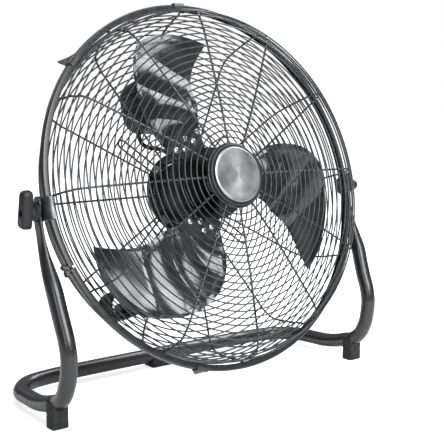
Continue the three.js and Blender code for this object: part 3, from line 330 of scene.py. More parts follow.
# ---------------------------------------------------------------- mesh building
class Shape:
    """Vertices and faces gathered in millimetres, turned into one smooth-shaded piece."""

    def __init__(self):
        self.vertices, self.faces = [], []

    def add(self, vertices, faces):
        start = len(self.vertices)
        self.vertices += [Vector(v) for v in vertices]
        self.faces += [tuple(start + i for i in face) for face in faces]
        return self

    def loft(self, rings, closed=False):
        """Skin through rings of equal count, closed on itself or capped at both ends."""
        count, last = len(rings[0]), len(rings) - 1
        faces = []
        if not closed:
            faces += [tuple(reversed(range(count))), tuple(last * count + k for k in range(count))]
        for i in range(last + closed):
            here, there = i * count, (i + 1) % len(rings) * count
            for k in range(count):
                n = (k + 1) % count
                faces.append((here + k, here + n, there + n, there + k))
        return self.add([point for ring in rings for point in ring], faces)

    def tube(self, centres, radius, sides, closed=False, start_normal=None):
        """Round bar along centres."""
        centres = [Vector(c) for c in centres]
        count = len(centres)
        normal = Vector(start_normal) if start_normal else None
        section = arc(0, 0, radius, 0, 360, sides)[:-1]
        rings = []
        for i, centre in enumerate(centres):
            before = centres[i - 1] if i or closed else centre
            after = centres[(i + 1) % count] if i + 1 < count or closed else centre
            along = (after - before).normalized()
            if normal is None:
                normal = along.orthogonal()
            normal = (normal - along * normal.dot(along)).normalized()
            other = along.cross(normal)
            rings.append([centre + normal * u + other * v for u, v in section])
        return self.loft(rings, closed)

    def ring(self, radius, ahead, wire, segments, sides):
        """Round wire bent to a ring about the fan's axis."""
        return self.tube([on_fan(radius, 360 * i / segments, ahead) for i in range(segments)], wire,
                         sides, closed=True, start_normal=Y)

    def turned(self, profile, segments, place=on_fan, closed=False):
        """Body of revolution; profile holds (radius, distance along the axis)."""
        vertices, rows = [], []
        for radius, distance in profile:
            points = segments if radius > 1e-6 else 1
            rows.append([len(vertices) + i % points for i in range(segments)])
            vertices += [place(radius, 360 * i / segments, distance) for i in range(points)]
        faces = []
        for i in range(len(rows) if closed else len(rows) - 1):
            a, b = rows[i], rows[(i + 1) % len(rows)]
            for k in range(segments):
                n = (k + 1) % segments
                face = tuple(dict.fromkeys((a[k], a[n], b[n], b[k])))
                if len(face) > 2:
                    faces.append(face)
        return self.add(vertices, faces)

    def prism(self, outline, low, high, place):
        """Closed flat outline given its thickness; place turns (u, v, w) into a point."""
        return self.loft([[place(u, v, w) for u, v in outline] for w in (low, high)])

    def piece(self, name, slot, kind, *nodes, body="head", basis=HEAD_FRAME, edge=0.0, sharp=40.0):
        """The finished piece: welded, its normals outward, its edges broken or kept sharp."""
        mesh = bpy.data.meshes.new(name)
        mesh.from_pydata([basis @ v for v in self.vertices], [], self.faces)
        mesh.validate()
        work = bmesh.new()
        work.from_mesh(mesh)
        bmesh.ops.remove_doubles(work, verts=work.verts, dist=WELD_DISTANCE)
        bmesh.ops.recalc_face_normals(work, faces=work.faces)
        work.to_mesh(mesh)
        work.free()
        mesh.shade_smooth()
        made = bpy.data.objects.new(name, mesh)
        if edge:
            break_edges(made, edge, sharp).miter_outer = "MITER_ARC"
        else:
            mesh.set_sharp_from_angle(angle=math.radians(sharp))
        return dress(made, slot, kind, *nodes, body=body)


def break_edges(made, width, sharp):
    """Small round on every edge sharper than an angle."""
    bevel = made.modifiers.new("Broken edges", "BEVEL")
    bevel.width = width * MM
    bevel.segments = 2
    bevel.limit_method = "ANGLE"
    bevel.angle_limit = math.radians(sharp)
    bevel.harden_normals = True
    return bevel


def dress(made, slot, kind, *nodes, body="head"):
    """Links a made object, gives it its finish and its body, and hides the CAD nodes it stands for."""
    bpy.context.scene.collection.objects.link(made)
    made.data.materials.append(finish_of(kind))
    if nodes:
        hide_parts(*nodes)
    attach(made, body)
    return made


def refinish(node, kind, edge):
    """Keeps a CAD node, with its edges broken and its finish on it."""
    piece = frame["nodes"][node]
    piece.data.materials.clear()
    piece.data.materials.append(finish_of(kind))
    break_edges(piece, edge, 30)
    for face in piece.data.polygons:
        face.use_smooth = True


def limits(node):
    """Lowest and highest corner of a CAD node in millimetres of the head's frame."""
    inverse = HEAD_FRAME.inverted()
    places = [inverse @ v.co for v in frame["nodes"][node].data.vertices]
    return [Vector([pick(place[i] for place in places) for i in range(3)]) for pick in (min, max)]


# ---------------------------------------------------------------- node building
def linear(hex_colour):
    """sRGB hex to linear RGBA."""
    parts = [int(hex_colour[i:i + 2], 16) / 255 for i in (1, 3, 5)]
    return [c / 12.92 if c <= 0.04045 else ((c + 0.055) / 1.055) ** 2.4 for c in parts] + [1.0]


def shade(hex_colour, share):
    """The same colour, lighter or darker by a share."""
    parts = [min(255, max(0, round(int(hex_colour[i:i + 2], 16) * (1 + share)))) for i in (1, 3, 5)]
    return "#%02X%02X%02X" % tuple(parts)


def add_node(tree, kind, inputs, **values):
    """Adds a node; inputs are socket names with a value or another node's output."""
    made = tree.nodes.new(kind)
    for name, value in values.items():
        setattr(made, name, value)
    for name, value in inputs.items():
        if isinstance(value, bpy.types.NodeSocket):
            tree.links.new(value, made.inputs[name])
        else:
            made.inputs[name].default_value = value
    return made


def per_metre(millimetres):
    """Pattern scale whose features are about this many millimetres apart."""
    return 1000.0 / millimetres


def spread(tree, value, low, high, start=0.3, end=0.7):
    """A pattern's middle turned into a range of values."""
    return add_node(tree, "ShaderNodeMapRange", {
        "Value": value, "From Min": start, "From Max": end, "To Min": low, "To Max": high,
    }).outputs["Result"]


def ramp(tree, value, dark, light, start=0.35, end=0.65):
    """A pattern turned into colours between two of them."""
    made = add_node(tree, "ShaderNodeValToRGB", {"Fac": value})
    for stop, position, colour in zip(made.color_ramp.elements, (start, end), (dark, light)):
        stop.position = position
        stop.color = linear(colour)
    return made.outputs["Color"]


def relief(tree, height, millimetres, strength):
    """Bump of a real height."""
    return add_node(tree, "ShaderNodeBump", {
        "Height": height, "Distance": millimetres * MM, "Strength": strength}).outputs["Normal"]


def vector_math(tree, operation, first, second=(0, 0, 0), output=0):
    return add_node(tree, "ShaderNodeVectorMath", {0: first, 1: second}, operation=operation).outputs[output]


# Each pattern below is a function of a node tree and the object's own place in metres.
def cloud(millimetres, detail=2.0, stretch=(1.0, 1.0, 1.0)):
    """Uneven noise, drawn out along an axis whose stretch is small."""
    def pattern(tree, place):
        if min(stretch) < 1:
            place = add_node(tree, "ShaderNodeMapping", {"Vector": place, "Scale": stretch}).outputs[0]
        return add_node(tree, "ShaderNodeTexNoise", {
            "Vector": place, "Scale": per_metre(millimetres), "Detail": detail}).outputs["Fac"]
    return pattern


def cells(millimetres, feature="F1"):
    """Rounded cells beside each other."""
    def pattern(tree, place):
        return add_node(tree, "ShaderNodeTexVoronoi", {"Vector": place, "Scale": per_metre(millimetres)},
                        feature=feature).outputs["Distance"]
    return pattern


def sheets(millimetres):
    """Even layers square to the fan's axis."""
    def pattern(tree, place):
        along = vector_math(tree, "DOT_PRODUCT", place, tuple(AHEAD), "Value")
        turns = add_node(tree, "ShaderNodeMath", {0: along, 1: 2 * math.pi * per_metre(millimetres)},
                         operation="MULTIPLY").outputs[0]
        return add_node(tree, "ShaderNodeMath", {0: turns}, operation="SINE").outputs[0]
    return pattern


# ---------------------------------------------------------------- finishes
def finish(name, colour, roughness, metallic=0.0, base=None, gloss=None, bump=None, coat=None):
    """One finish: base holds a pattern and its two colours, as hex or as shares of the setting's
    colour; gloss a pattern and its roughnesses; bump a pattern, its height in mm and strength."""
    made = bpy.data.materials.new(name)
    made.use_nodes = True
    tree = made.node_tree
    tree.nodes.clear()
    place = add_node(tree, "ShaderNodeTexCoord", {}).outputs["Object"]
    colour = getattr(settings(), colour, colour)
    shader = add_node(tree, "ShaderNodeBsdfPrincipled", {
        "Base Color": linear(colour), "Roughness": roughness, "Metallic": metallic})
    add_node(tree, "ShaderNodeOutputMaterial", {"Surface": shader.outputs["BSDF"]})
    if base:
        pattern, *ends = base
        ends = [end if isinstance(end, str) else shade(colour, end) for end in ends]
        tree.links.new(ramp(tree, pattern(tree, place), *ends), shader.inputs["Base Color"])
    if gloss:
        pattern, *ends = gloss
        tree.links.new(spread(tree, pattern(tree, place), *ends), shader.inputs["Roughness"])
    if bump:
        pattern, height, strength = bump
        tree.links.new(relief(tree, pattern(tree, place), height, strength), shader.inputs["Normal"])
    if coat:
        for name, value in zip(("Coat Weight", "Coat Roughness"), coat):
            shader.inputs[name].default_value = value
    return made


def plastic(name, grain, height, *roughness):
    return dict(name=name, colour="plastic_colour", roughness=roughness[0], base=(cloud(25), -0.1, 0.14),
                gloss=(cloud(5, 3), *roughness), bump=(cloud(grain), height, 0.6))


FINISHES = {
    # Fused polyester powder over mild steel: fine orange peel breaks up the highlights along
    # the tube, and the thickness of the coat varies its gloss a little.
    "powder": dict(
        name="Satin black powder coat on steel", colour="powder_colour", roughness=0.28,
        base=(cloud(35), -0.12, 0.16), gloss=(cloud(9, 3), 0.24, 0.36), bump=(cloud(1.6), 0.05, 0.5),
        coat=(0.5, 0.2)),
    # Dip-coated drawn steel wire: the coat runs a little thicker in places, which gives each
    # thin wire an uneven, fairly bright line of light.
    "wire": dict(
        name="Black epoxy coat on drawn wire", colour="wire_colour", roughness=0.22, metallic=0.4,
        base=(cloud(22), -0.15, 0.25), gloss=(cloud(6, 3), 0.18, 0.28), bump=(cloud(2.4), 0.04, 0.5),
        coat=(0.6, 0.1)),
    # Sheet steel pressed to shape, then sprayed graphite enamel with metallic pigment: a soft
    # sheen that swings from near black to light grey over the pressed steps.
    "blade": dict(
        name="Graphite enamel on pressed steel", colour="blade_colour", roughness=0.18, metallic=0.92,
        base=(cloud(60), -0.1, 0.2), gloss=(cloud(14, 3), 0.15, 0.23), bump=(cloud(3.5), 0.02, 0.4),
        coat=(0.35, 0.18)),
    # Folded sheet with a thin dark passivated zinc: grey and satin, its flat faces take the light.
    "bracket": dict(
        name="Dark passivated zinc on sheet steel", colour="#6C6E71", roughness=0.34, metallic=0.8,
        base=(cloud(12, 3), "#56585B", "#7C7E81"), gloss=(cloud(4, 3), 0.28, 0.42),
        bump=(cloud(1.2), 0.02, 0.5)),
    # Barrel-plated zinc: fine crystalline haze and small shade differences.
    "zinc": dict(
        name="Bright zinc plate on steel", colour="#B4B7BB", roughness=0.3, metallic=1.0,
        base=(cloud(3), "#9EA2A7", "#C4C7CA"), gloss=(cells(0.7), 0.22, 0.4, 0.0, 1.0),
        bump=(cloud(0.5), 0.01, 0.4)),
    # Nickel-bright rivet heads struck by a snap: nearly smooth, with a light hammer mark.
    "rivet": dict(
        name="Nickel-bright steel rivet", colour="#C9CCD0", roughness=0.2, metallic=1.0,
        gloss=(cloud(1.5, 3), 0.14, 0.28), bump=(cloud(1.2), 0.03, 0.5)),
    # Injection-moulded ABS from an etched tool: a fine even grain that keeps highlights broad.
    "plastic": plastic("Grained black ABS", 0.8, 0.03, 0.42, 0.56),
    # The same ABS from a more coarsely etched tool: duller, so the case stays in the background.
    "case": plastic("Coarse grained black ABS", 1.2, 0.04, 0.58, 0.7),
    # Moulded rubber, slightly bloomed: dull, with faint grey patches.
    "rubber": dict(
        name="Moulded black rubber", colour="#1A1A1B", roughness=0.75,
        base=(cloud(9, 4), "#161617", "#212223"), gloss=(cloud(4, 3), 0.62, 0.82),
        bump=(cloud(0.9, 3), 0.06, 0.6)),
    # Spray enamel over a deep-drawn steel shell: smooth, with faint drawing lines beneath.
    "enamel": dict(
        name="Black enamel on drawn steel shell", colour="#1C1D1F", roughness=0.34,
        base=(cloud(30), "#18191B", "#222326"), gloss=(cloud(8, 3), 0.3, 0.42),
        bump=(cloud(1.2, stretch=(1.0, 0.05, 1.0)), 0.03, 0.5)),
    # Stack of 0.5 mm punched silicon-steel sheets under varnish: fine lines round the pack.
    "laminations": dict(
        name="Varnished silicon-steel laminations", colour="#6E7177", roughness=0.42, metallic=0.9,
        base=(cloud(6), "#5E6166", "#7B7E84"), gloss=(cloud(3), 0.35, 0.5),
        bump=(sheets(0.5), 0.04, 0.6)),
    # Enamelled copper magnet wire laid in the coil: 0.9 mm strands under clear varnish.
    "copper": dict(
        name="Enamelled copper winding", colour="#9A5528", roughness=0.35, metallic=0.9,
        base=(cloud(4, 3), "#7A3F1B", "#B56A35"), gloss=(cloud(2), 0.28, 0.44),
        bump=(cells(0.9, "SMOOTH_F1"), 0.2, 0.7), coat=(0.5, 0.03)),
    # Extruded soft PVC over twisted cores: a semi-gloss skin with a slow lay of the cores
    # showing through as a faint swell.
    "vinyl": dict(
        name="Extruded black PVC sheath", colour="#151617", roughness=0.42,
        base=(cloud(20), "#121314", "#1B1C1E"), gloss=(cloud(7, 3), 0.36, 0.5),
        bump=(cloud(2.2), 0.05, 0.4)),
    # Moulded black nylon strap: a dull sheen, broken by fine marks from its tool.
    "nylon": dict(
        name="Black nylon tie", colour="#1E1F20", roughness=0.48,
        base=(cloud(6), "#191A1B", "#252627"), gloss=(cloud(2.5), 0.4, 0.56),
        bump=(cloud(1.1), 0.05, 0.5)),
    # Nickel over brass contact blades, lightly scratched along their length by use.
    "brass": dict(
        name="Nickel-plated brass contact", colour="#C7C2B4", roughness=0.25, metallic=1.0,
        gloss=(cloud(0.6, 3, (0.08, 1.0, 1.0)), 0.18, 0.36),
        bump=(cloud(0.5, stretch=(0.08, 1.0, 1.0)), 0.01, 0.5)),
}


def spun_aluminium():
    # Aluminium disc brushed while it turns: fine circular lines stretch the light into a
    # fan of bright and dark spokes.
    made = finish("Spun satin aluminium", "#A9ABAE", 0.3, 1.0)
    tree = made.node_tree
    place, shader = tree.nodes[0].outputs["Object"], tree.nodes[1]
    away = vector_math(tree, "SUBTRACT", place, tuple(AXIS_POINT))
    side = vector_math(tree, "CROSS_PRODUCT", away, tuple(AHEAD))
    radius = vector_math(tree, "LENGTH", side, output="Value")
    lines = add_node(tree, "ShaderNodeTexNoise", {"W": radius, "Scale": per_metre(0.35), "Detail": 3.0},
                     noise_dimensions="1D").outputs["Fac"]
    haze = add_node(tree, "ShaderNodeMath", {0: cloud(26)(tree, place), 1: lines, 2: 0.22},
                    operation="MULTIPLY_ADD").outputs[0]
    tangent = add_node(tree, "ShaderNodeVectorTransform", {"Vector": side}, vector_type="VECTOR",
                       convert_from="OBJECT", convert_to="WORLD").outputs[0]
    for name, value in (("Base Color", ramp(tree, haze, "#808285", "#D0D2D4")), ("Tangent", tangent),
                        ("Roughness", spread(tree, lines, 0.24, 0.4)),
                        ("Normal", relief(tree, lines, 0.008, 0.5))):
        tree.links.new(value, shader.inputs[name])
    shader.inputs["Anisotropic"].default_value = 0.7
    return made


made_finishes = {}


def finish_of(kind):
    if kind not in made_finishes:
        made_finishes[kind] = spun_aluminium() if kind == "aluminium" else finish(**FINISHES[kind])
    return made_finishes[kind]


# ---------------------------------------------------------------- camera and stage
def aimed(made, place, towards):
    """Links a camera or a lamp at a place, looking along a direction."""
    bpy.context.scene.collection.objects.link(made)
    made.location = place
    made.rotation_mode = "QUATERNION"
    made.rotation_quaternion = towards.to_track_quat("-Z", "Y")


class FLOORFAN_OT_camera(bpy.types.Operator):
    """Sets the camera that looks at the fan from its front left"""

    bl_idname = "floor_fan.camera"
    bl_label = "Camera"

    def execute(self, context):
        chosen = settings()
        turn, rise = chosen.camera_azimuth, chosen.camera_elevation
        back = Vector((math.sin(turn) * math.cos(rise), -math.cos(turn) * math.cos(rise), math.sin(rise)))
        lens = bpy.data.cameras.new("Studio camera")
        lens.sensor_width = 36.0
        lens.lens = chosen.camera_lens
        lens.clip_start, lens.clip_end = 0.02, 60.0
        camera = bpy.data.objects.new("Studio camera", lens)
        aimed(camera, Vector(chosen.camera_target) + back * chosen.camera_distance, -back)
        context.scene.camera = camera
        return {"FINISHED"}


# each lamp's name, place and aim, then its width and height in metres and its power in watts
SOFT_BOXES = (
    ("Left soft box", (-1.62, -1.62, 0.95), (0, 0, 0.3), 0.6, 1.2, 8),
    ("Right soft box", (1.45, 0.05, 1.7), (0, 0, 0.42), 1.5, 1.1, 36),
    ("Top soft box", (0.1, -0.4, 2.6), (0, 0, 0.3), 2.0, 1.2, 26),
    ("Front soft box", (0.0, -1.85, 1.25), (0, 0, 0.2), 1.2, 1.3, 42),
    ("Low soft box", (1.54, -1.84, 0.75), (0, 0, 0.3), 0.9, 0.9, 1.2),
    ("Back soft box", (-0.7, 2.2, 1.5), (0, 0, 0.3), 1.6, 1.0, 1.5),
)
FLOOR_HALF, FLOOR_SINK = 12.0, 0.0004


class FLOORFAN_OT_studio(bpy.types.Operator):
    """Lays the pale floor, hangs the soft lamps and sets the white surroundings"""

    bl_idname = "floor_fan.studio"
    bl_label = "Studio"

    def execute(self, context):
        mesh = bpy.data.meshes.new("studio_floor")
        corners = ((-1, -1), (1, -1), (1, 1), (-1, 1))
        mesh.from_pydata([(x * FLOOR_HALF, y * FLOOR_HALF, 0) for x, y in corners], [], [(0, 1, 2, 3)])
        floor = bpy.data.objects.new("studio_floor", mesh)
        context.scene.collection.objects.link(floor)
        floor.location.z = -FLOOR_SINK
        floor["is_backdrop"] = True
        mesh.materials.append(self.board())
        context.scene.world = self.room()
        for name, place, aim, width, height, power in SOFT_BOXES:
            lamp = bpy.data.lights.new(name, "AREA")
            lamp.shape, lamp.size, lamp.size_y, lamp.energy = "RECTANGLE", width, height, power
            made = bpy.data.objects.new(name, lamp)
            aimed(made, place, Vector(aim) - Vector(place))
            made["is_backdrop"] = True
        context.scene.view_settings.view_transform = "Standard"
        return {"FINISHED"}

    def board(self):
        """Matt painted board. Seen directly it is lifted to white, so that only the fan's own
        shadow darkens it."""
        colour = settings().floor_colour
        made = finish("Matt white studio board", colour, 0.9, base=(cloud(400), shade(colour, -0.01), colour))
        tree = made.node_tree
        place = tree.nodes[0].outputs["Object"]
        paint, output = (tree.nodes[name] for name in ("Principled BSDF", "Material Output"))
        flat = vector_math(tree, "MULTIPLY", place, (1, 1, 0))
        away = vector_math(tree, "LENGTH", flat, output="Value")
        lift = add_node(tree, "ShaderNodeEmission", {
            "Color": (1, 1, 1, 1), "Strength": spread(tree, away, 0.62, 1.0, 0.4, 1.5)})
        lifted = add_node(tree, "ShaderNodeAddShader", {0: paint.outputs[0], 1: lift.outputs[0]})
        tree.links.new(self.by_ray(tree, paint, lifted), output.inputs["Surface"])
        return made

    def room(self):
        """White to the camera, and a grey room, lighter upwards, to everything else."""
        made = bpy.data.worlds.new("White studio")
        made.use_nodes = True
        tree = made.node_tree
        tree.nodes.clear()
        direction = add_node(tree, "ShaderNodeTexCoord", {}).outputs["Generated"]
        height = add_node(tree, "ShaderNodeSeparateXYZ", {0: direction}).outputs["Z"]
        walls = ramp(tree, spread(tree, height, 0, 1, -0.3, 0.9), "#34363A", "#F2F3F5", 0, 1)
        grey = add_node(tree, "ShaderNodeBackground", {"Color": walls, "Strength": 0.5})
        white = add_node(tree, "ShaderNodeBackground", {"Color": (1, 1, 1, 1), "Strength": 1.0})
        add_node(tree, "ShaderNodeOutputWorld", {"Surface": self.by_ray(tree, grey, white)})
        return made

    def by_ray(self, tree, others, seen):
        """One shader for what the camera sees directly, another for everything else."""
        ray = add_node(tree, "ShaderNodeLightPath", {}).outputs["Is Camera Ray"]
        return add_node(tree, "ShaderNodeMixShader", {
            0: ray, 1: others.outputs[0], 2: seen.outputs[0]}).outputs[0]


# ---------------------------------------------------------------- mains cord, plug and tie
# along the hank's runs, across them, and ahead
on_hank = on_axes((HANK_X, 0, HANK_Z), HANK_ALONG, HANK_UP, -Y)


def cord_line():
    """Middle line of the mains cord from the gland, down, round the hank and into the plug."""
    first, last = HANK_FRONT - CORD_RADIUS, HANK_BACK - 4.2
    down = [Vector((x, -ahead, z)) for x, ahead, z in (
        (0, -LEAD_BEHIND, CORD_EXIT), (0, -LEAD_BEHIND, CORD_EXIT - 9),
        (-0.8, -72, CORD_EXIT - 19), (-3.5, -70.2, CORD_EXIT - 30), (-10, -67.6, CORD_EXIT - 42))]
    down += [on_hank(66, -12.5, first - 0.6), on_hank(56, -16.8, first)]
    down.append(on_hank(HALF_RUN, -FOLD_RADIUS, first))
    line = evenly(smooth_line(down, 200), 22)[:-1]
    for layer in range(CORD_LAYERS):
        ahead = first - 2 * CORD_RADIUS * layer
        following = last if layer + 1 == CORD_LAYERS else ahead - 2 * CORD_RADIUS
        line += [on_hank(HALF_RUN - HANK_RUN * i / 4, -FOLD_RADIUS, ahead) for i in range(4)]
        line += [on_hank(u, v, ahead) for u, v in arc(-HALF_RUN, 0, FOLD_RADIUS, -90, -270, 12)[:-1]]
        line += [on_hank(-HALF_RUN + HANK_RUN * i / 4, FOLD_RADIUS, ahead) for i in range(4)]
        line += [on_hank(u, v, ahead + (following - ahead) * smoothstep(i / 12, 0, 1))
                 for i, (u, v) in enumerate(arc(HALF_RUN, 0, FOLD_RADIUS, 90, -90, 12)[:-1])]
    tail = [on_hank(HALF_RUN, -FOLD_RADIUS, last), on_hank(38, -FOLD_RADIUS + 1.6, HANK_BACK - 6.4),
            on_hank(30, -FOLD_RADIUS + 4, HANK_BACK - 10.6),
            on_hank(PLUG_U + 8, PLUG_V, PLUG_AHEAD), on_hank(PLUG_U + 2, PLUG_V, PLUG_AHEAD)]
    return line + evenly(smooth_line(tail, 120), 8)


class FLOORFAN_OT_cord(bpy.types.Operator):
    """Lays the mains cord in its hank, with its plug, strain relief and tie"""

    bl_idname = "floor_fan.cord"
    bl_label = "Mains cord"

    def execute(self, context):
        line = [HEAD_FRAME @ point for point in cord_line()]
        curve = bpy.data.curves.new("mains_cord", "CURVE")
        curve.dimensions = "3D"
        curve.bevel_depth = CORD_RADIUS * MM
        curve.bevel_resolution = 4
        curve.use_fill_caps = True
        spline = curve.splines.new("POLY")
        spline.points.add(len(line) - 1)
        for point, place in zip(spline.points, line):
            point.co = (*place, 1)
        spline.use_smooth = True
        cord = bpy.data.objects.new("mains_cord", curve)
        dress(cord, "cord_sheath", "vinyl", "cord_lead", "cord_hank", "cord_tail")
        plug = self.plug()
        self.strain_relief()
        tie = self.tie()
        return {"FINISHED"}

    def plug(self):
        """Rounded block that narrows to its grip, with a ribbed neck, two blades and an earth pin."""
        on_plug = on_axes(on_hank(PLUG_U, PLUG_V, PLUG_AHEAD), HANK_ALONG, HANK_UP, -Y)
        body = Shape().loft([
            [on_plug(along, v * wide, w * deep) for v, w in rounded_rectangle(PLUG_WIDE, PLUG_DEEP, 8, 6)]
            for along, wide, deep in ((0, 0.93, 0.9), (-1.5, 1, 1), (-14, 1, 1), (-24, 0.94, 0.94),
                                      (-PLUG_LONG + 2, 0.98, 0.98), (-PLUG_LONG, 0.9, 0.9))])
        neck = [(0, -3), (6.2, -3), (6.2, 0.6)]
        for rib in range(4):
            start, outer = 0.6 + 2.3 * rib, 5.9 - 0.35 * rib
            neck += raised(start, (outer, 0), (outer, 1.3), (4.3, 1.5), (4.3, 2.2))
        neck += [(3.9, 10), (0, 10)]
        body.turned(neck, 24, about(on_plug(0, 0, 0), HANK_UP, -Y, HANK_ALONG))
        made = body.piece("mains_plug", "plug_plastic", "plastic", "plug", edge=0.5, sharp=50)

        root, tip = -PLUG_LONG + 2, -PLUG_LONG - 16
        blade = [(tip + 1, 3.1), (tip, 2), (tip, -2), (tip + 1, -3.1), (root, -3.1), (root, 3.1)]
        pins = Shape()
        for side in (-PIN_SPREAD, PIN_SPREAD):
            pins.prism(blade, side - PIN_SHEET / 2, side + PIN_SHEET / 2, on_plug)
        earth = [(0, tip - 2), (1.6, tip - 1.6), (2.4, tip), (2.4, root), (0, root)]
        pins.turned(earth, 20, about(on_plug(0, -9, 0), HANK_UP, -Y, HANK_ALONG))
        pins.piece("plug_pins", "bearing_steel", "brass", edge=0.2, sharp=35)
        return made

    def strain_relief(self):
        """Ribbed sleeve where the cord leaves the motor."""
        profile = raised(GLAND_TOP, (0, 1.5), (7.5, 0), (7.5, -2.5), (6.4, -3))
        for rib in range(6):
            start, outer = GLAND_TOP - 4 - 4.2 * rib, 6.3 - 0.3 * rib
            profile += raised(start, (outer, 0), (outer, -2.6), (outer - 1.4, -3), (outer - 1.4, -3.8))
        profile += raised(CORD_EXIT, (4.1, 0.6), (3.6, 0), (0, 0))
        Shape().turned(profile, 28, about((0, LEAD_BEHIND, 0), X, Y, Z)).piece(
            "strain_relief", "foot_rubber", "rubber", "cord_gland", edge=0.3)

    def tie(self):
        """Flat strap round the hank and the guard's wires, with its moulded lock."""
        front, back = -REAR_FACE_BEHIND + DROP + HEAVY_WIRE + CLEAR, HANK_BACK - CLEAR
        high = FOLD_RADIUS + CORD_RADIUS + CLEAR
        loop = [(v, (front + back) / 2 + w)
                for v, w in rounded_rectangle(2 * high + 1.2, front - back + 1.2, 3.6, 6)]
        rings = []
        for i, (v, w) in enumerate(loop):
            before, after = loop[i - 1], loop[(i + 1) % len(loop)]
            out = Vector((after[1] - before[1], before[0] - after[0])).normalized() * TIE_SHEET / 2
            rings.append([on_hank(side * TIE_WIDE / 2, v + out.x * way, w + out.y * way)
                          for side, way in ((-1, -1), (1, -1), (1, 1), (-1, 1))])
        strap = Shape().loft(rings, closed=True)
        lock = [(TIE_LOCK * u, high - TIE_LOCK * v) for u, v in ((-0.5, 2), (0.5, 2), (0.5, 1), (-0.5, 1))]
        strap.prism(lock, back - 5, back - 0.4, on_hank)
        return strap.piece("hank_tie", "tie_plastic", "nylon", "cord_tie", edge=0.25, sharp=35)


# ---------------------------------------------------------------- cradle stand
def leg_line(side):
    """Middle line of one leg and side rail, from the pivot down and back to the crossbar."""
    points = [(LEG_TOP_SPREAD, 0, PIVOT_HEIGHT + LEG_TOP)]
    points += [(LEG_TOP_SPREAD - LEG_INSET * inset, -LEG_LEAN * lean,
                RAIL_HEIGHT + (PIVOT_HEIGHT - RAIL_HEIGHT) * rise) for inset, lean, rise in LEG_BENDS]
    points += [(LEG_SPREAD - CORNER_REACH * inset,
                -FRONT_FOOT_AHEAD + (CROSSBAR_BEHIND + FRONT_FOOT_AHEAD) * along,
                RAIL_HEIGHT + (CROSSBAR_HEIGHT - RAIL_HEIGHT) * fall) for inset, along, fall in RAIL_BENDS]
    points += [(LEG_SPREAD - CORNER_REACH * inset, CROSSBAR_BEHIND - CORNER_REACH * short,
                CROSSBAR_HEIGHT) for inset, short in CORNER_BENDS]
    return [Vector((side * x, y, z)) for x, y, z in points]


class FLOORFAN_OT_stand(bpy.types.Operator):
    """Bends the tubular cradle stand, with both ends pressed flat, and moulds its feet"""

    bl_idname = "floor_fan.stand"
    bl_label = "Stand and feet"

    def execute(self, context):
        points = leg_line(-1) + [Vector((0, CROSSBAR_BEHIND, CROSSBAR_HEIGHT))] + leg_line(1)[::-1]
        line = evenly(smooth_line(points, 1400), 360)
        top = PIVOT_HEIGHT + LEG_TOP
        line = [point for point in line if point.z < top - 0.3]
        first, last = (Vector((end.x, end.y, top - 0.05)) for end in (line[0], line[-1]))
        tube = Shape().tube([first, *line, last], TUBE_RADIUS, 40, start_normal=X)
        for vertex in tube.vertices:
            if PIVOT_HEIGHT - vertex.z <= PRESSED_START:
                self.press(vertex, top)
        tube.piece("cradle_stand", "stand_paint", "powder", "stand_tube", body="stand",
                   basis=STAND_FRAME, sharp=60)

        # moulded block: rolled sole, a parting groove 16 mm up and a rounded top
        block = ((2.0, 0.0), (0.5, 0.6), (0.0, 1.8), (0.0, 15.4), (0.9, 15.9), (0.9, 16.7), (0.0, 17.2),
                 (0.0, FOOT_HIGH - 2.0), (0.5, FOOT_HIGH - 0.7), (1.6, FOOT_HIGH))
        block = [(FOOT_WIDE - inset, FOOT_DEEP - inset, z) for inset, z in block]
        pad = ((38.0, 27.0, 0.0), (37.2, 26.4, 12.6), (35.2, 24.4, 14.0))
        for name, node, sizes, x, y, edge in (
                ("foot_left", "front_foot_left", block, -LEG_SPREAD, -FRONT_FOOT_AHEAD, 0),
                ("foot_right", "front_foot_right", block, LEG_SPREAD, -FRONT_FOOT_AHEAD, 0),
                ("foot_rear", "rear_foot", pad, 0, CROSSBAR_BEHIND, 0.8)):
            Shape().loft([
                [(x + u, y + v, z) for u, v in rounded_rectangle(wide, deep, FOOT_CORNER, 6)]
                for wide, deep, z in sizes]).piece(
                name, "foot_rubber", "rubber", node, body="stand", basis=STAND_FRAME, edge=edge, sharp=30)
        return {"FINISHED"}

    def press(self, vertex, top):
        """Flattens the tube's end between two dies: flat faces, round edges and a round end."""
        ease = smoothstep(vertex.z - PIVOT_HEIGHT, -PRESSED_START, -PRESSED_FULL)
        centre = math.copysign(LEG_TOP_SPREAD, vertex.x)
        limit = TUBE_RADIUS + (PRESSED_THICKNESS / 2 - TUBE_RADIUS) * ease
        across = (vertex.x - centre) * (1 - PRESSED_SQUEEZE * ease)
        vertex.x = centre + max(-limit, min(limit, across))
        half = PRESSED_WIDTH / 2
        vertex.y *= 1 - ease * (1 - half / TUBE_RADIUS)
        past = max(0.0, vertex.z - (top - half))
        vertex.y *= math.sqrt(max(0.0, 1 - (past / half) ** 2))


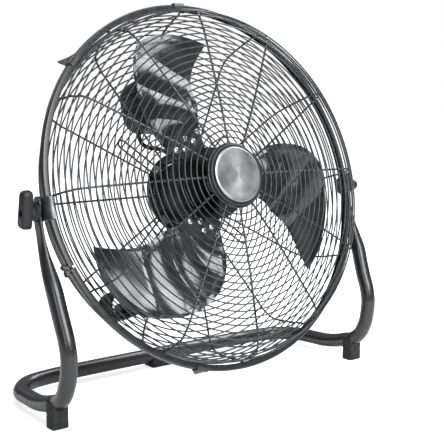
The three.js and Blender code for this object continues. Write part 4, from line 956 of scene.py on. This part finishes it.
# ---------------------------------------------------------------- rim
class FLOORFAN_OT_rim(bpy.types.Operator):
    """Rolls the channel rim with its clamp ears, and finishes the clips and the clamp screw"""

    bl_idname = "floor_fan.rim"
    bl_label = "Rim and clips"

    def execute(self, context):
        front, back, wall = RIM_FRONT, RIM_BACK, RIM_WALL
        lip, bend, inner = RIM_RADIUS - RIM_DEPTH, RIM_BEND, RIM_INNER_BEND
        middle, inside = RIM_RADIUS - bend, RIM_RADIUS - wall - inner
        profile = [(lip, back), *arc(middle, back + bend, bend, -90, 0, 6)]
        profile += [*arc(middle, front - bend, bend, 0, 90, 6), (lip, front), (lip - 0.3, front - wall / 2)]
        profile += [(lip, front - wall), *arc(inside, front - wall - inner, inner, 90, 0, 6)]
        profile += [*arc(inside, back + wall + inner, inner, 0, -90, 6), (lip, back + wall)]
        profile.append((lip - 0.3, back + wall / 2))
        gap, steps = math.degrees(math.asin(CLAMP_GAP / 2 / RIM_RADIUS)), 240
        turns = [CLAMP_ANGLE + gap + (360 - 2 * gap) * i / steps for i in range(steps + 1)]
        band = Shape().loft([[on_fan(radius, turn, ahead) for radius, ahead in profile] for turn in turns])
        at_clamp = at_angle(CLAMP_ANGLE)
        root, outer = RIM_RADIUS - wall, RIM_RADIUS + EAR_HEIGHT - EAR_CORNER
        ear = [(root, back + 1), *arc(outer, back + 1 + EAR_CORNER, EAR_CORNER, -90, 0, 5)]
        ear += [*arc(outer, front - 1 - EAR_CORNER, EAR_CORNER, 0, 90, 5), (root, front - 1)]
        for low in (-CLAMP_GAP / 2 - EAR_THICKNESS, CLAMP_GAP / 2):
            band.prism(ear, low, low + EAR_THICKNESS, at_clamp)
        band.piece("rim_channel", "rim_paint", "powder", "rim_band")
        for node, (angle, reach, rise) in CLIPS.items():
            self.clip(node, at_angle(angle), reach, rise)
        self.clamp_screw()
        return {"FINISHED"}

    def clip(self, node, at_clip, reach, rise):
        """Spring strap over the rim, hooked under both edges, with a pointed lever to the rear."""
        front, back, sheet = RIM_FRONT + CLEAR, RIM_BACK - CLEAR, CLIP_SHEET
        out, lip, half = RIM_RADIUS + 0.4, RIM_RADIUS - RIM_DEPTH + 1, CLIP_WIDE / 2
        strap = [(lip, front), (out, front), (out, back), (lip, back), (lip, back - sheet),
                 (out, back - sheet), (out + sheet, back - 0.4), (out + sheet, front + 0.4),
                 (out, front + sheet), (lip, front + sheet)]
        clip = Shape().prism(strap, -half, half, at_clip)
        rings = []
        for share in (0.0, 0.2, 0.45, 0.7, 0.88, 1.0):
            radius, ahead = out + rise * share ** 1.4, back + 1 - reach * share
            wide = (half - 0.6) * (1 - share) ** 0.8 + 0.9
            rings.append([at_clip(radius + up, ahead, across) for across, up in (
                (-wide, 0.2), (-wide + 0.4, 0.0), (wide - 0.4, 0.0), (wide, 0.2), (wide, sheet - 0.2),
                (wide - 0.4, sheet), (0, sheet + 0.8), (-wide + 0.4, sheet), (-wide, sheet - 0.2))])
        clip.loft(rings).piece(f"spring_{node}", "rim_paint", "powder", node, edge=0.25)

    def clamp_screw(self):
        """Round-headed screw and its nut, drawing the two ears of the rim together."""
        half = CLAMP_GAP / 2 + EAR_THICKNESS + CLEAR
        on_screw = about(on_fan(RIM_RADIUS + EAR_HEIGHT * 0.6, CLAMP_ANGLE, RIM_AHEAD),
                         on_fan(1, CLAMP_ANGLE, 0), -Y, on_fan(1, CLAMP_ANGLE + 90, 0))
        screw = raised(-half, (0, -3.4), (2.2, -3.2), (3.6, -2.3), (4, -1.2), (4, 0), (2, 0))
        screw += raised(half, (2, 4.7), (1.6, 5), (0, 5))
        Shape().turned(screw, 32, on_screw).piece("clamp_screw", "rim_paint", "powder", "rim_clamp_screw")
        nut = raised(half, (2.2, 0), (4, 0), (4.2, 0.4), (4.2, 3.1), (3.8, 3.5), (2.2, 3.5))
        Shape().turned(nut, 6, on_screw, closed=True).piece(
            "clamp_nut", "rim_paint", "powder", "rim_clamp_nut", sharp=30)


# ---------------------------------------------------------------- wire guards
def front_meridian():
    inner, shoulder = CAP_RADIUS + 2, RIM_RADIUS - SHOULDER_INSET
    fall = FACE_AHEAD - SHOULDER_AHEAD - 4
    points = [(inner + (shoulder - inner) * share, FACE_AHEAD - DROP - fall * share * share)
              for share in (0, 0.25, 0.5, 0.75, 0.9)]
    return points + [(shoulder - 3, SHOULDER_AHEAD - 2), (shoulder + 1, SHOULDER_AHEAD - 11),
                     (MOUTH - 4, RIM_AHEAD + 24), (MOUTH - 1, RIM_FRONT + 3)]


def rear_meridian():
    shoulder = RIM_RADIUS - REAR_SHOULDER_INSET
    points = [(MOUNT_RING_RADIUS + (shoulder - MOUNT_RING_RADIUS) * share, -REAR_FACE_BEHIND + DROP)
              for share in (0, 0.25, 0.5, 0.75, 0.88)]
    return points + [(shoulder - 6, -REAR_FACE_BEHIND + 8), (shoulder, -REAR_FACE_BEHIND + 17),
                     (MOUTH - 4, RIM_AHEAD - 24), (MOUTH - 1, RIM_BACK - 3)]


def guard_wires(points, facing):
    """Rings and radial wires of one guard; facing is 1 for the front guard, -1 for the rear."""
    sides, pitch = settings().ring_sides, settings().ring_pitch / MM
    line = smooth_line([(radius, ahead, 0) for radius, ahead in points], 640)
    cage = Shape()
    for number in range(1, int((length_of(line) - 2) / pitch) + 1):
        at, along = at_length(line, number * pitch)
        cage.ring(at.x - facing * along.y * DROP, at.y + facing * along.x * DROP, RING_WIRE,
                  RING_SEGMENTS, sides)
    seat = RIM_AHEAD + facing * EDGE_OFFSET
    cage.ring(EDGE_RADIUS, seat, HEAVY_WIRE, RING_SEGMENTS, sides)
    bends = [(p.x, p.y) for p in evenly(line, 90)]
    bends += [(MOUTH + 0.5, seat + facing * 1.5), (MOUTH + 2, seat), (EDGE_RADIUS, seat)]
    for spoke in range(SPOKES):
        cage.tube([on_fan(radius, 360 * spoke / SPOKES, ahead) for radius, ahead in bends],
                  HEAVY_WIRE, sides)
    return cage


class FLOORFAN_OT_guards(bpy.types.Operator):
    """Welds the front and rear wire guards, each with its full count of rings"""

    bl_idname = "floor_fan.guards"
    bl_label = "Wire guards"

    def execute(self, context):
        sides = settings().ring_sides
        front = guard_wires(front_meridian(), 1)
        front.ring(CAP_RADIUS + 2, FACE_AHEAD, HEAVY_WIRE, SMALL_RING_SEGMENTS, sides)
        front.piece("front_guard_wires", "guard_wire", "wire", "front_guard", sharp=60)
        rear = guard_wires(rear_meridian(), -1)
        rear.ring(MOUNT_RING_RADIUS, -REAR_FACE_BEHIND, HEAVY_WIRE, SMALL_RING_SEGMENTS, sides)
        gap, inner = MOUNT_SPOKE_GAP, MOUNT_RING_RADIUS - 4
        hairpin = [(inner, -gap), *arc(MOUNT_SPOKE_REACH - gap, 0, gap, -90, 90, 12), (inner, gap)]
        for angle in MOUNT_ANGLES:
            place = at_angle(angle)
            rear.tube([place(out, -REAR_FACE_BEHIND + DROP, across) for out, across in hairpin],
                      HEAVY_WIRE, sides, start_normal=Y)
        rear.piece("rear_guard_wires", "guard_wire", "wire", "rear_guard", sharp=60)
        return {"FINISHED"}


class FLOORFAN_OT_cap(bpy.types.Operator):
    """Turns the black cap holder and its spun aluminium plate"""

    bl_idname = "floor_fan.cap"
    bl_label = "Centre cap"

    def execute(self, context):
        seat = FACE_AHEAD + HEAVY_WIRE + CLEAR
        holder, plate = CAP_RADIUS + 1.4, CAP_RADIUS - CAP_STEP
        rim = raised(seat, (0, 0), (holder - 0.5, 0), (holder, 0.4), (holder, 1.6), (holder - 0.5, 2.6),
                     (holder - 1.5, 3.4), (plate + 0.9, 3.5), (plate + CLEAR, 3), (plate + CLEAR, 2), (0, 2))
        Shape().turned(rim, 128).piece("cap_ring", "cap_holder_plastic", "plastic", "cap_holder", sharp=50)
        flat = plate - 2
        face = raised(seat + 2 + CLEAR, (0, 0), (plate - 0.2, 0), (plate, 0.3))
        face += raised(CAP_AHEAD, (plate, -1.4), (plate - 0.2, -0.9), (plate - 0.7, -0.5), (flat, -0.1))
        face += [(flat * share, CAP_AHEAD + 0.9 - share ** 2) for share in (1 - i / 16 for i in range(1, 17))]
        Shape().turned(face, 128).piece("cap_disc", "cap_metal", "aluminium", "cap_plate", sharp=50)
        return {"FINISHED"}


# ---------------------------------------------------------------- motor
class FLOORFAN_OT_motor(bpy.types.Operator):
    """Draws the motor's shells and finishes what is inside them and what mounts them"""

    bl_idname = "floor_fan.motor"
    bl_label = "Motor"

    def execute(self, context):
        r, wall, front, split, back = MOTOR_RADIUS, MOTOR_WALL, MOTOR_FRONT, MOTOR_SPLIT, MOTOR_BACK
        seat, bore = BEARING_SEAT, BEARING_RADIUS + CLEAR
        nose = raised(front, (6.8, -1), (7.4, 0), (seat + 1.2, 0), (seat + 2.2, -0.6), (seat + 4, -5))
        nose += [*arc(r - 12, front - 19, 12, 90, 0, 8), (r, split + 1), (r - 0.7, split), (r - wall, split)]
        nose += raised(front, (r - wall, -21), (r - 14, -10.5), (seat, -9), (seat, -14), (bore, -14),
                       (bore, -3), (6.8, -3))
        Shape().turned(nose, 96, closed=True).piece(
            "motor_front", "motor_paint", "enamel", "motor_front_shell")
        tail = [(0, back), (r - 16, back), *arc(r - 9, back + 9, 9, -90, 0, 8)]
        tail += raised(split, (r, -1), (r - 0.7, -CLEAR), (r - wall, -CLEAR))
        tail += raised(back, (r - wall, 12), (r - 16, 5.5), (seat, 5), (seat, 14), (bore, 14), (bore, 3.5),
                       (0, 3.5))
        shell = Shape().turned(tail, 96)
        rib = [(RIB_MIDDLE + u, v) for u, v in rounded_rectangle(RIB_LONG, RIB_WIDE, 2.1, 5)]
        for number in range(END_RIBS):
            place = at_angle(360 * number / END_RIBS)
            shell.loft([[place(out, ahead, across) for out, across in rib]
                        for ahead in (back - 0.9, back + 0.5)])
        shell.piece("motor_rear", "motor_paint", "enamel", "motor_rear_shell")
        refinish("motor_stator", "laminations", 0.3)
        refinish("motor_winding_front", "copper", 1.2)
        refinish("motor_winding_rear", "copper", 1.2)
        refinish("motor_bearing_front", "zinc", 0.4)
        inner, outer, wide = SHAFT_RADIUS + CLEAR, BEARING_RADIUS, BEARING_WIDTH
        race = raised(BEARING_BACK, (inner, 0), (outer - 0.6, 0), (outer, 0.6), (outer, wide - 0.6),
                      (outer - 0.6, wide), (inner, wide))
        Shape().turned(race, 48, closed=True).piece(
            "rear_bearing", "bearing_steel", "zinc", "motor_bearing_rear")
        self.mount()
        return {"FINISHED"}

    def mount(self):
        """Ring plate behind the guard, with a screw and a flanged nut at each hairpin."""
        front = -REAR_FACE_BEHIND - HEAVY_WIRE - CLEAR
        back = front - MOUNT_PLATE_THICKNESS
        wires = -REAR_FACE_BEHIND + DROP + HEAVY_WIRE
        inside, outside = MOTOR_RADIUS + 0.8, MOUNT_PLATE_RADIUS
        plate = [(inside, back + 0.3), (inside + 0.3, back), (outside - 0.8, back), (outside, back + 0.8),
                 (outside, front - 0.5), (outside - 0.5, front), (inside, front)]
        Shape().turned(plate, 96, closed=True).piece(
            "mount_plate", "motor_paint", "powder", "motor_mount_plate")
        screw = raised(back, (0, -3.1), (2.6, -3), (3.9, -2.3), (4.4, -1.2), (4.4, -CLEAR), (2.2, -CLEAR))
        screw += raised(wires, (2.2, 4.2), (1.7, 4.7), (0, 4.7))
        flange = raised(wires, (2.5, CLEAR), (7.2, CLEAR), (7.5, 0.7), (7.2, 1.3), (2.5, 1.5))
        nut = raised(wires, (2.5, 1.4), (4.2, 1.4), (4.2, 3.8), (3.8, 4.2), (2.5, 4.2))
        screws, nuts = Shape(), Shape()
        for angle in MOUNT_ANGLES:
            beside = about(on_fan(MOUNT_SCREW_CIRCLE, angle, 0), X, Z, -Y)
            screws.turned(screw, 24, beside)
            nuts.turned(flange, 36, beside, closed=True)
            nuts.turned(nut, 6, beside, closed=True)
        for shape, name in ((screws, "screw"), (nuts, "nut")):
            shape.piece(f"mount_{name}s", "zinc_fasteners", "zinc",
                        *(f"motor_mount_{name}_{number}" for number in range(1, 5)))


# ---------------------------------------------------------------- impeller
LEADING, TRAILING = (
    [Vector((out * BLADE_REACH, angle, ahead * BLADE_REACH)) for out, angle, ahead in edge]
    for edge in (LEADING_EDGE, TRAILING_EDGE))


def blade_surface(span, chord):
    """Radius without and with the tip's bulge, angle, and distance ahead of the hub plane."""
    at = smooth_point(LEADING, span).lerp(smooth_point(TRAILING, span), chord)
    bulge = TIP_BULGE * span**6 * 4 * chord * (1 - chord)
    camber = BLADE_CAMBER * math.sin(math.pi * chord) * smoothstep(span, 0.15, 0.5)
    return at.x, at.x + bulge, at.y, at.z - camber


def pressed_rows():
    """Rows across the blade: two creases, the share of the way between them, and the lift there."""
    lines = [(0.0, 0.0), *PRESSED_STEPS, (1.0, 1.0)]
    last = len(lines) - 2
    rows = []
    for band in range(last + 1):
        start, end = CREASE_LIFT[band], CREASE_LIFT[band + 1]
        # a panel swells ahead, then rolls back ever more steeply to the next crease; the tip is flat
        swell = SWELL * PRESS_HEIGHT if band < last else 0.0
        for i in range(PANEL_ROWS + (band == last)):
            share = i / PANEL_ROWS
            lift = start + (end - start) * share + swell * (share - share ** 3)
            rows.append((lines[band], lines[band + 1], share, lift))
    return rows


def blade_shape(line):
    """Pressed blade about its middle angle: two sheets of points, joined round their edges."""
    front, back = [], []
    rows = pressed_rows()
    for low, high, share, lift in rows:
        for j in range(BLADE_COLUMNS + 1):
            chord = j / BLADE_COLUMNS
            a = low[0] + (low[1] - low[0]) * chord
            b = high[0] + (high[1] - high[0]) * chord
            span = a + (b - a) * share
            fade = smoothstep(chord, -0.02, 0.06) * smoothstep(1 - chord, -0.02, 0.06)
            base, radius, angle, ahead = blade_surface(span, chord)
            fade *= smoothstep(base, SPIDER_REACH + 3, SPIDER_REACH + 23)
            turn = abs(smooth_point(TRAILING, span).y - smooth_point(LEADING, span).y)
            width = math.radians(turn) * radius
            from_edge = min(chord * width, (1 - chord) * width, (1 - span) * BLADE_LONG)
            bead = BEAD_HIGH * math.exp(-((from_edge - FLANGE_WIDE) / BEAD_WIDE) ** 2)
            flange = FLANGE_ROLL * max(0.0, FLANGE_WIDE - chord * width)
            height = HUB_PLANE + ahead + lift * fade + (bead - flange) * smoothstep(span, 0.12, 0.3)
            front.append(on_fan(radius, angle + line, height + BLADE_THICKNESS / 2))
            back.append(on_fan(radius, angle + line, height - BLADE_THICKNESS / 2))
    count, wide = len(front), BLADE_COLUMNS + 1
    faces = []
    for p in range(count - wide):
        if (p + 1) % wide:
            q = p + wide
            faces += [(p, p + 1, q + 1, q), (count + p, count + q, count + q + 1, count + p + 1)]
    top = range(count - wide, count)
    rim = [*range(wide), *range(2 * wide - 1, count, wide), *reversed(top[:-1])]
    rim += range(count - 2 * wide, 0, -wide)
    for p, q in zip(rim, rim[1:] + rim[:1]):
        faces.append((p, count + p, count + q, q))
    return Shape().add(front + back, faces)


class FLOORFAN_OT_impeller(bpy.types.Operator):
    """Presses the three blades and makes the spider, its rivets and the hub parts"""

    bl_idname = "floor_fan.impeller"
    bl_label = "Impeller"

    def execute(self, context):
        arm_front = HUB_PLANE - BLADE_THICKNESS / 2 - CLEAR
        arm_back = arm_front - SPIDER_SHEET
        seat = HUB_PLANE + BLADE_THICKNESS / 2 + CLEAR + 0.9
        bore = SHAFT_RADIUS + CLEAR
        hub = raised(arm_back, (bore, -12), (14.2, -12), (15, -11.2), (15, 0), (52, 0))
        hub += [(52, arm_front), (15, arm_front)]
        hub += raised(HUB_PLANE, (15, 2.2), (14.2, 3), (bore, 3))
        arm = ((20, -34), (76, -22), (84, -12), (87, 2), (84, 16), (76, 26), (20, 38))
        dome = [(0, arm_front), (2.6, arm_front)]
        dome += raised(seat, (2.6, 0), (4.4, 0), (4.4, 0.6), (4, 1.2), (2.9, 1.7), (1.5, 1.95), (0, 2))
        spider, rivets = Shape().turned(hub, 64, closed=True), Shape()
        for blade in range(BLADES):
            line = 360 * blade / BLADES
            spider.loft([[on_fan(out, line + angle, ahead) for out, angle in arm]
                         for ahead in (arm_back, arm_front)])
            for out, angle in RIVETS:
                rivets.turned(dome, 24, about(on_fan(out, line + angle, 0), X, Z, -Y))
            blade_shape(line).piece(f"blade_pressing_{blade + 1}", "blade_paint", "blade",
                                    f"blade_{blade + 1}", body="rotor", sharp=48)
        spider.piece("impeller_spider", "blade_paint", "blade", "blade_spider", body="rotor")
        rivets.piece("blade_rivets", "zinc_fasteners", "rivet", body="rotor", sharp=60)
        refinish("hub_nut", "zinc", 0.4)
        radius, start, end = SHAFT_RADIUS, BEARING_BACK, HUB_PLANE + 9.3
        shaft = [(0, start), (radius - 0.6, start), (radius, start + 0.6), (radius, end - 0.6),
                 (radius - 0.6, end), (0, end)]
        Shape().turned(shaft, 40).piece("drive_shaft", "zinc_fasteners", "zinc", "motor_shaft", body="rotor")
        refinish("motor_rotor", "laminations", 0.3)
        return {"FINISHED"}


# ---------------------------------------------------------------- tilt pivots and knob
class FLOORFAN_OT_pivots(bpy.types.Operator):
    """Folds the pivot brackets, makes their bolts and washers, and moulds the knob and the cap nut"""

    bl_idname = "floor_fan.pivots"
    bl_label = "Tilt pivots and knob"

    def execute(self, context):
        inside, head, end = BRACKET_INSIDE, BRACKET_INSIDE + 1.4, LEG_OUTSIDE + BOLT_BEYOND
        bolt = [(0, inside), (6.6, inside), (7, inside + 0.4), (7, head), (BOLT_RADIUS, head),
                (BOLT_RADIUS, end - 0.6), (BOLT_RADIUS - 0.6, end), (0, end)]
        bore, inner, outer = BOLT_RADIUS + CLEAR, BRACKET_OUTSIDE + CLEAR, LEG_INSIDE - CLEAR
        washer = [(bore, inner), (12, inner), (12, outer), (bore, outer)]
        for side, outwards in (("left", -X), ("right", X)):
            self.bracket(side, outwards)
            pivot = about((0, 0, PIVOT_HEIGHT), Y, Z, outwards)
            Shape().turned(bolt, 32, pivot).piece(
                f"bolt_{side}", "zinc_fasteners", "zinc", f"pivot_bolt_{side}", basis=STAND_FRAME)
            Shape().turned(washer, 48, pivot, closed=True).piece(
                f"washer_{side}", "washer_plastic", "plastic", f"pivot_washer_{side}", basis=STAND_FRAME)
        self.knob()
        radius, start, end = CAP_NUT_RADIUS, KNOB_INSIDE, KNOB_OUTSIDE
        cap = raised(start, (KNOB_BORE, 0), (radius - 0.9, 0), (radius, 0.9), (radius, 3.2),
                     (radius - 0.5, 3.6), (radius - 0.5, 4.4), (radius, 4.8))
        cap += [(radius * share ** 0.7, end - 6 + 6 * rise) for share, rise in arc(0, 0, 1, 0, 90, 12)[:-1]]
        Shape().turned([*cap, (0, end)], 64, pivot).piece(
            "pivot_cap_nut", "knob_plastic", "plastic", "tilt_knob_right", body="knob_right",
            basis=STAND_FRAME, sharp=50)
        return {"FINISHED"}

    def bracket(self, side, outwards):
        """Cheek plate beside the rim, folded over the rim's front edge."""
        on_cheek = on_axes((0, 0, 0), Y, Z, outwards)
        fold, half = -RIM_FRONT - CLEAR, BRACKET_HIGH / 2
        edge, low = fold - BRACKET_SHEET, 4 - half
        cheek = [(edge, low), (BRACKET_REAR - 8, low), *arc(0, 0, BRACKET_REAR, -45, 90, 15),
                 (-4, half - 1.2), (edge, half)]
        rim_at_pivot = math.sqrt(RIM_RADIUS ** 2 - AXIS_RISE ** 2)
        bracket = Shape().prism(cheek, BRACKET_INSIDE, BRACKET_OUTSIDE, on_cheek)
        bracket.prism([(edge, low), (fold, low), (fold, half), (edge, half)],
                      rim_at_pivot - RIM_DEPTH, BRACKET_OUTSIDE, on_cheek)
        bracket.piece(f"bracket_{side}", "bracket_paint", "bracket", f"pivot_bracket_{side}",
                      basis=TILT_FRAME, edge=0.5, sharp=35)

    def knob(self):
        """Wing knob on a round collar: long wing up, short wing down, a dished eye over the bolt."""
        start, end, wing = KNOB_INSIDE, KNOB_OUTSIDE, KNOB_OUTSIDE - KNOB_WING
        middle, lean = (0, 0, PIVOT_HEIGHT), KNOB_LEAN
        on_wing = on_axes(middle, Y * math.cos(lean) + Z * math.sin(lean),
                          Z * math.cos(lean) - Y * math.sin(lean), -X)
        collar = raised(start, (KNOB_BORE, 0), (KNOB_COLLAR - 0.7, 0), (KNOB_COLLAR, 0.7),
                        (KNOB_COLLAR, 2.2), (KNOB_COLLAR - 0.8, 2.9), (9.2, 5))
        collar += [(8.2, wing + 0.5), (KNOB_BORE, wing + 0.5)]
        knob = Shape().turned(collar, 64, about(middle, Y, Z, -X), closed=True)
        rings = []
        for out, inset in ((wing, 1.6), (wing + 0.5, 0.7), (wing + 1.6, 0.0), (end - 5, 0.25),
                           (end - 2.2, 0.9), (end - 0.9, 1.8), (end, 3.4)):
            ring = []
            for u, v in rounded_rectangle(KNOB_WIDE - 2 * inset, KNOB_LONG - 2 * inset,
                                          6.2 - inset * 0.7, 8):
                # the wings narrow from the collar to their ends, the upper one most
                narrow = 1 - 0.3 * smoothstep(v, 0, KNOB_LONG / 2) - 0.12 * smoothstep(-v, 4, KNOB_LONG / 2)
                ring.append(on_wing(u * narrow, v + KNOB_OFFSET, out))
            rings.append(ring)
        for radius, sink in ((4.9, 0.0), (4.4, 0.5), (4.1, 4.2)):
            eye = arc(0, 0, radius, 270, 630, len(rings[0]))[:-1]
            rings.append([on_wing(u, v, end - sink) for u, v in eye])
        knob.loft(rings).piece("winged_knob", "knob_plastic", "plastic", "tilt_knob_left",
                               body="knob_left", basis=STAND_FRAME, sharp=35)


# ---------------------------------------------------------------- switch box
class FLOORFAN_OT_switch(bpy.types.Operator):
    """Moulds the switch box with its speed knob, and lays the lead to the motor"""

    bl_idname = "floor_fan.switch"
    bl_label = "Switch box"

    def execute(self, context):
        front = -REAR_FACE_BEHIND - HEAVY_WIRE - CLEAR
        back = front - BOX_DEPTH
        on_box = on_axes((BOX_X, 0, BOX_Z), X, Z, -Y)
        Shape().loft([
            [on_box(u, v, ahead) for u, v in rounded_rectangle(
                BOX_WIDTH - 2 * inset, BOX_HEIGHT - 2 * inset, BOX_CORNER - inset, 12)]
            for ahead, inset in ((front, 0.0), (back + 5, 0.4), (back + 2.6, 1.0), (back + 1.1, 2.2),
                                 (back + 0.3, 3.8), (back, 5.6))]).piece(
            "switch_case", "box_plastic", "case", "switch_box", "switch_box_lid")
        refinish("speed_switch", "plastic", 0.3)

        dome = [(0, -1), (3.4, -1), (3.4, 0.3), (2.8, 1.0), (1.4, 1.4), (0, 1.5)]
        screws = Shape()
        for side in (-1, 1):
            screws.turned(dome, 24, about(
                on_box(CASE_SCREW_ACROSS * side, CASE_SCREW_UP * side, back), X, Z, Y))
        screws.piece("case_screws", "zinc_fasteners", "zinc", sharp=50)
        self.speed_knob()
        lead = evenly(smooth_line([(x, -ahead, z) for x, ahead, z in LEAD_ROUTE], 240), 70)
        Shape().tube(lead, LEAD_RADIUS, 16).piece(
            "switch_lead", "cord_sheath", "vinyl", "motor_lead", sharp=60)
        return {"FINISHED"}

    def speed_knob(self):
        """Fluted grip that narrows outwards, with a raised pointer."""
        low, high = limits("speed_knob")
        radius, depth, sides = (high.x - low.x) / 2, SPEED_KNOB_DEPTH, SPEED_KNOB_SIDES
        x, z = (low.x + high.x) / 2, (low.z + high.z) / 2
        on_knob = about((x, low.y, z), X, Z, Y)
        rings = []
        for along, grow in ((0.0, 0.0), (0.6, 0.0), (depth - 1.6, -1.7), (depth - 0.5, -2.3), (depth, -3.4)):
            flute = FLUTE_DEPTH if 0.3 < along < depth - 0.3 else 0.0
            rings.append([on_knob(radius + grow - (0 if k % 3 else flute), 360 * k / sides, along)
                          for k in range(sides)])
        grip = Shape().loft(rings)
        grip.prism(rounded_rectangle(4.4, radius - 2, 1.6, 5), 1.0, depth + 1.0,
                   on_axes((x, low.y, z + (radius - 1) / 2), X, Z, Y))
        grip.piece("speed_knob_grip", "knob_plastic", "plastic", "speed_knob", body="speed_knob")


# ---------------------------------------------------------------- panel and running
PIECES = (
    FLOORFAN_OT_camera, FLOORFAN_OT_cord, FLOORFAN_OT_stand, FLOORFAN_OT_rim, FLOORFAN_OT_guards,
    FLOORFAN_OT_cap, FLOORFAN_OT_motor, FLOORFAN_OT_impeller, FLOORFAN_OT_pivots, FLOORFAN_OT_switch,
    FLOORFAN_OT_studio,
)


class FLOORFAN_PT_panel(bpy.types.Panel):
    """Lists the floor fan's settings and pieces"""

    bl_idname = "FLOORFAN_PT_panel"
    bl_label = "Floor Fan"
    bl_space_type = "VIEW_3D"
    bl_region_type = "UI"
    bl_category = "Floor Fan"

    def draw(self, context):
        column = self.layout.column()
        for name in FloorFanSettings.__annotations__:
            column.prop(context.scene.floor_fan, name)
        for piece in PIECES:
            column.operator(piece.bl_idname)


CLASSES = (FloorFanSettings, *PIECES, FLOORFAN_PT_panel)


def register():
    for made in CLASSES:
        bpy.utils.register_class(made)
    bpy.types.Scene.floor_fan = bpy.props.PointerProperty(type=FloorFanSettings)


def unregister():
    del bpy.types.Scene.floor_fan
    for made in reversed(CLASSES):
        bpy.utils.unregister_class(made)


def corners():
    return [list(corner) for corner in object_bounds()]


def main():
    register()
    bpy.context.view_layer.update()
    for piece in PIECES:
        group, name = piece.bl_idname.split(".")
        if getattr(getattr(bpy.ops, group), name)() != {"FINISHED"}:
            raise RuntimeError(f"{piece.bl_label} wasn't finished")


if __name__ == "__main__":
    main()
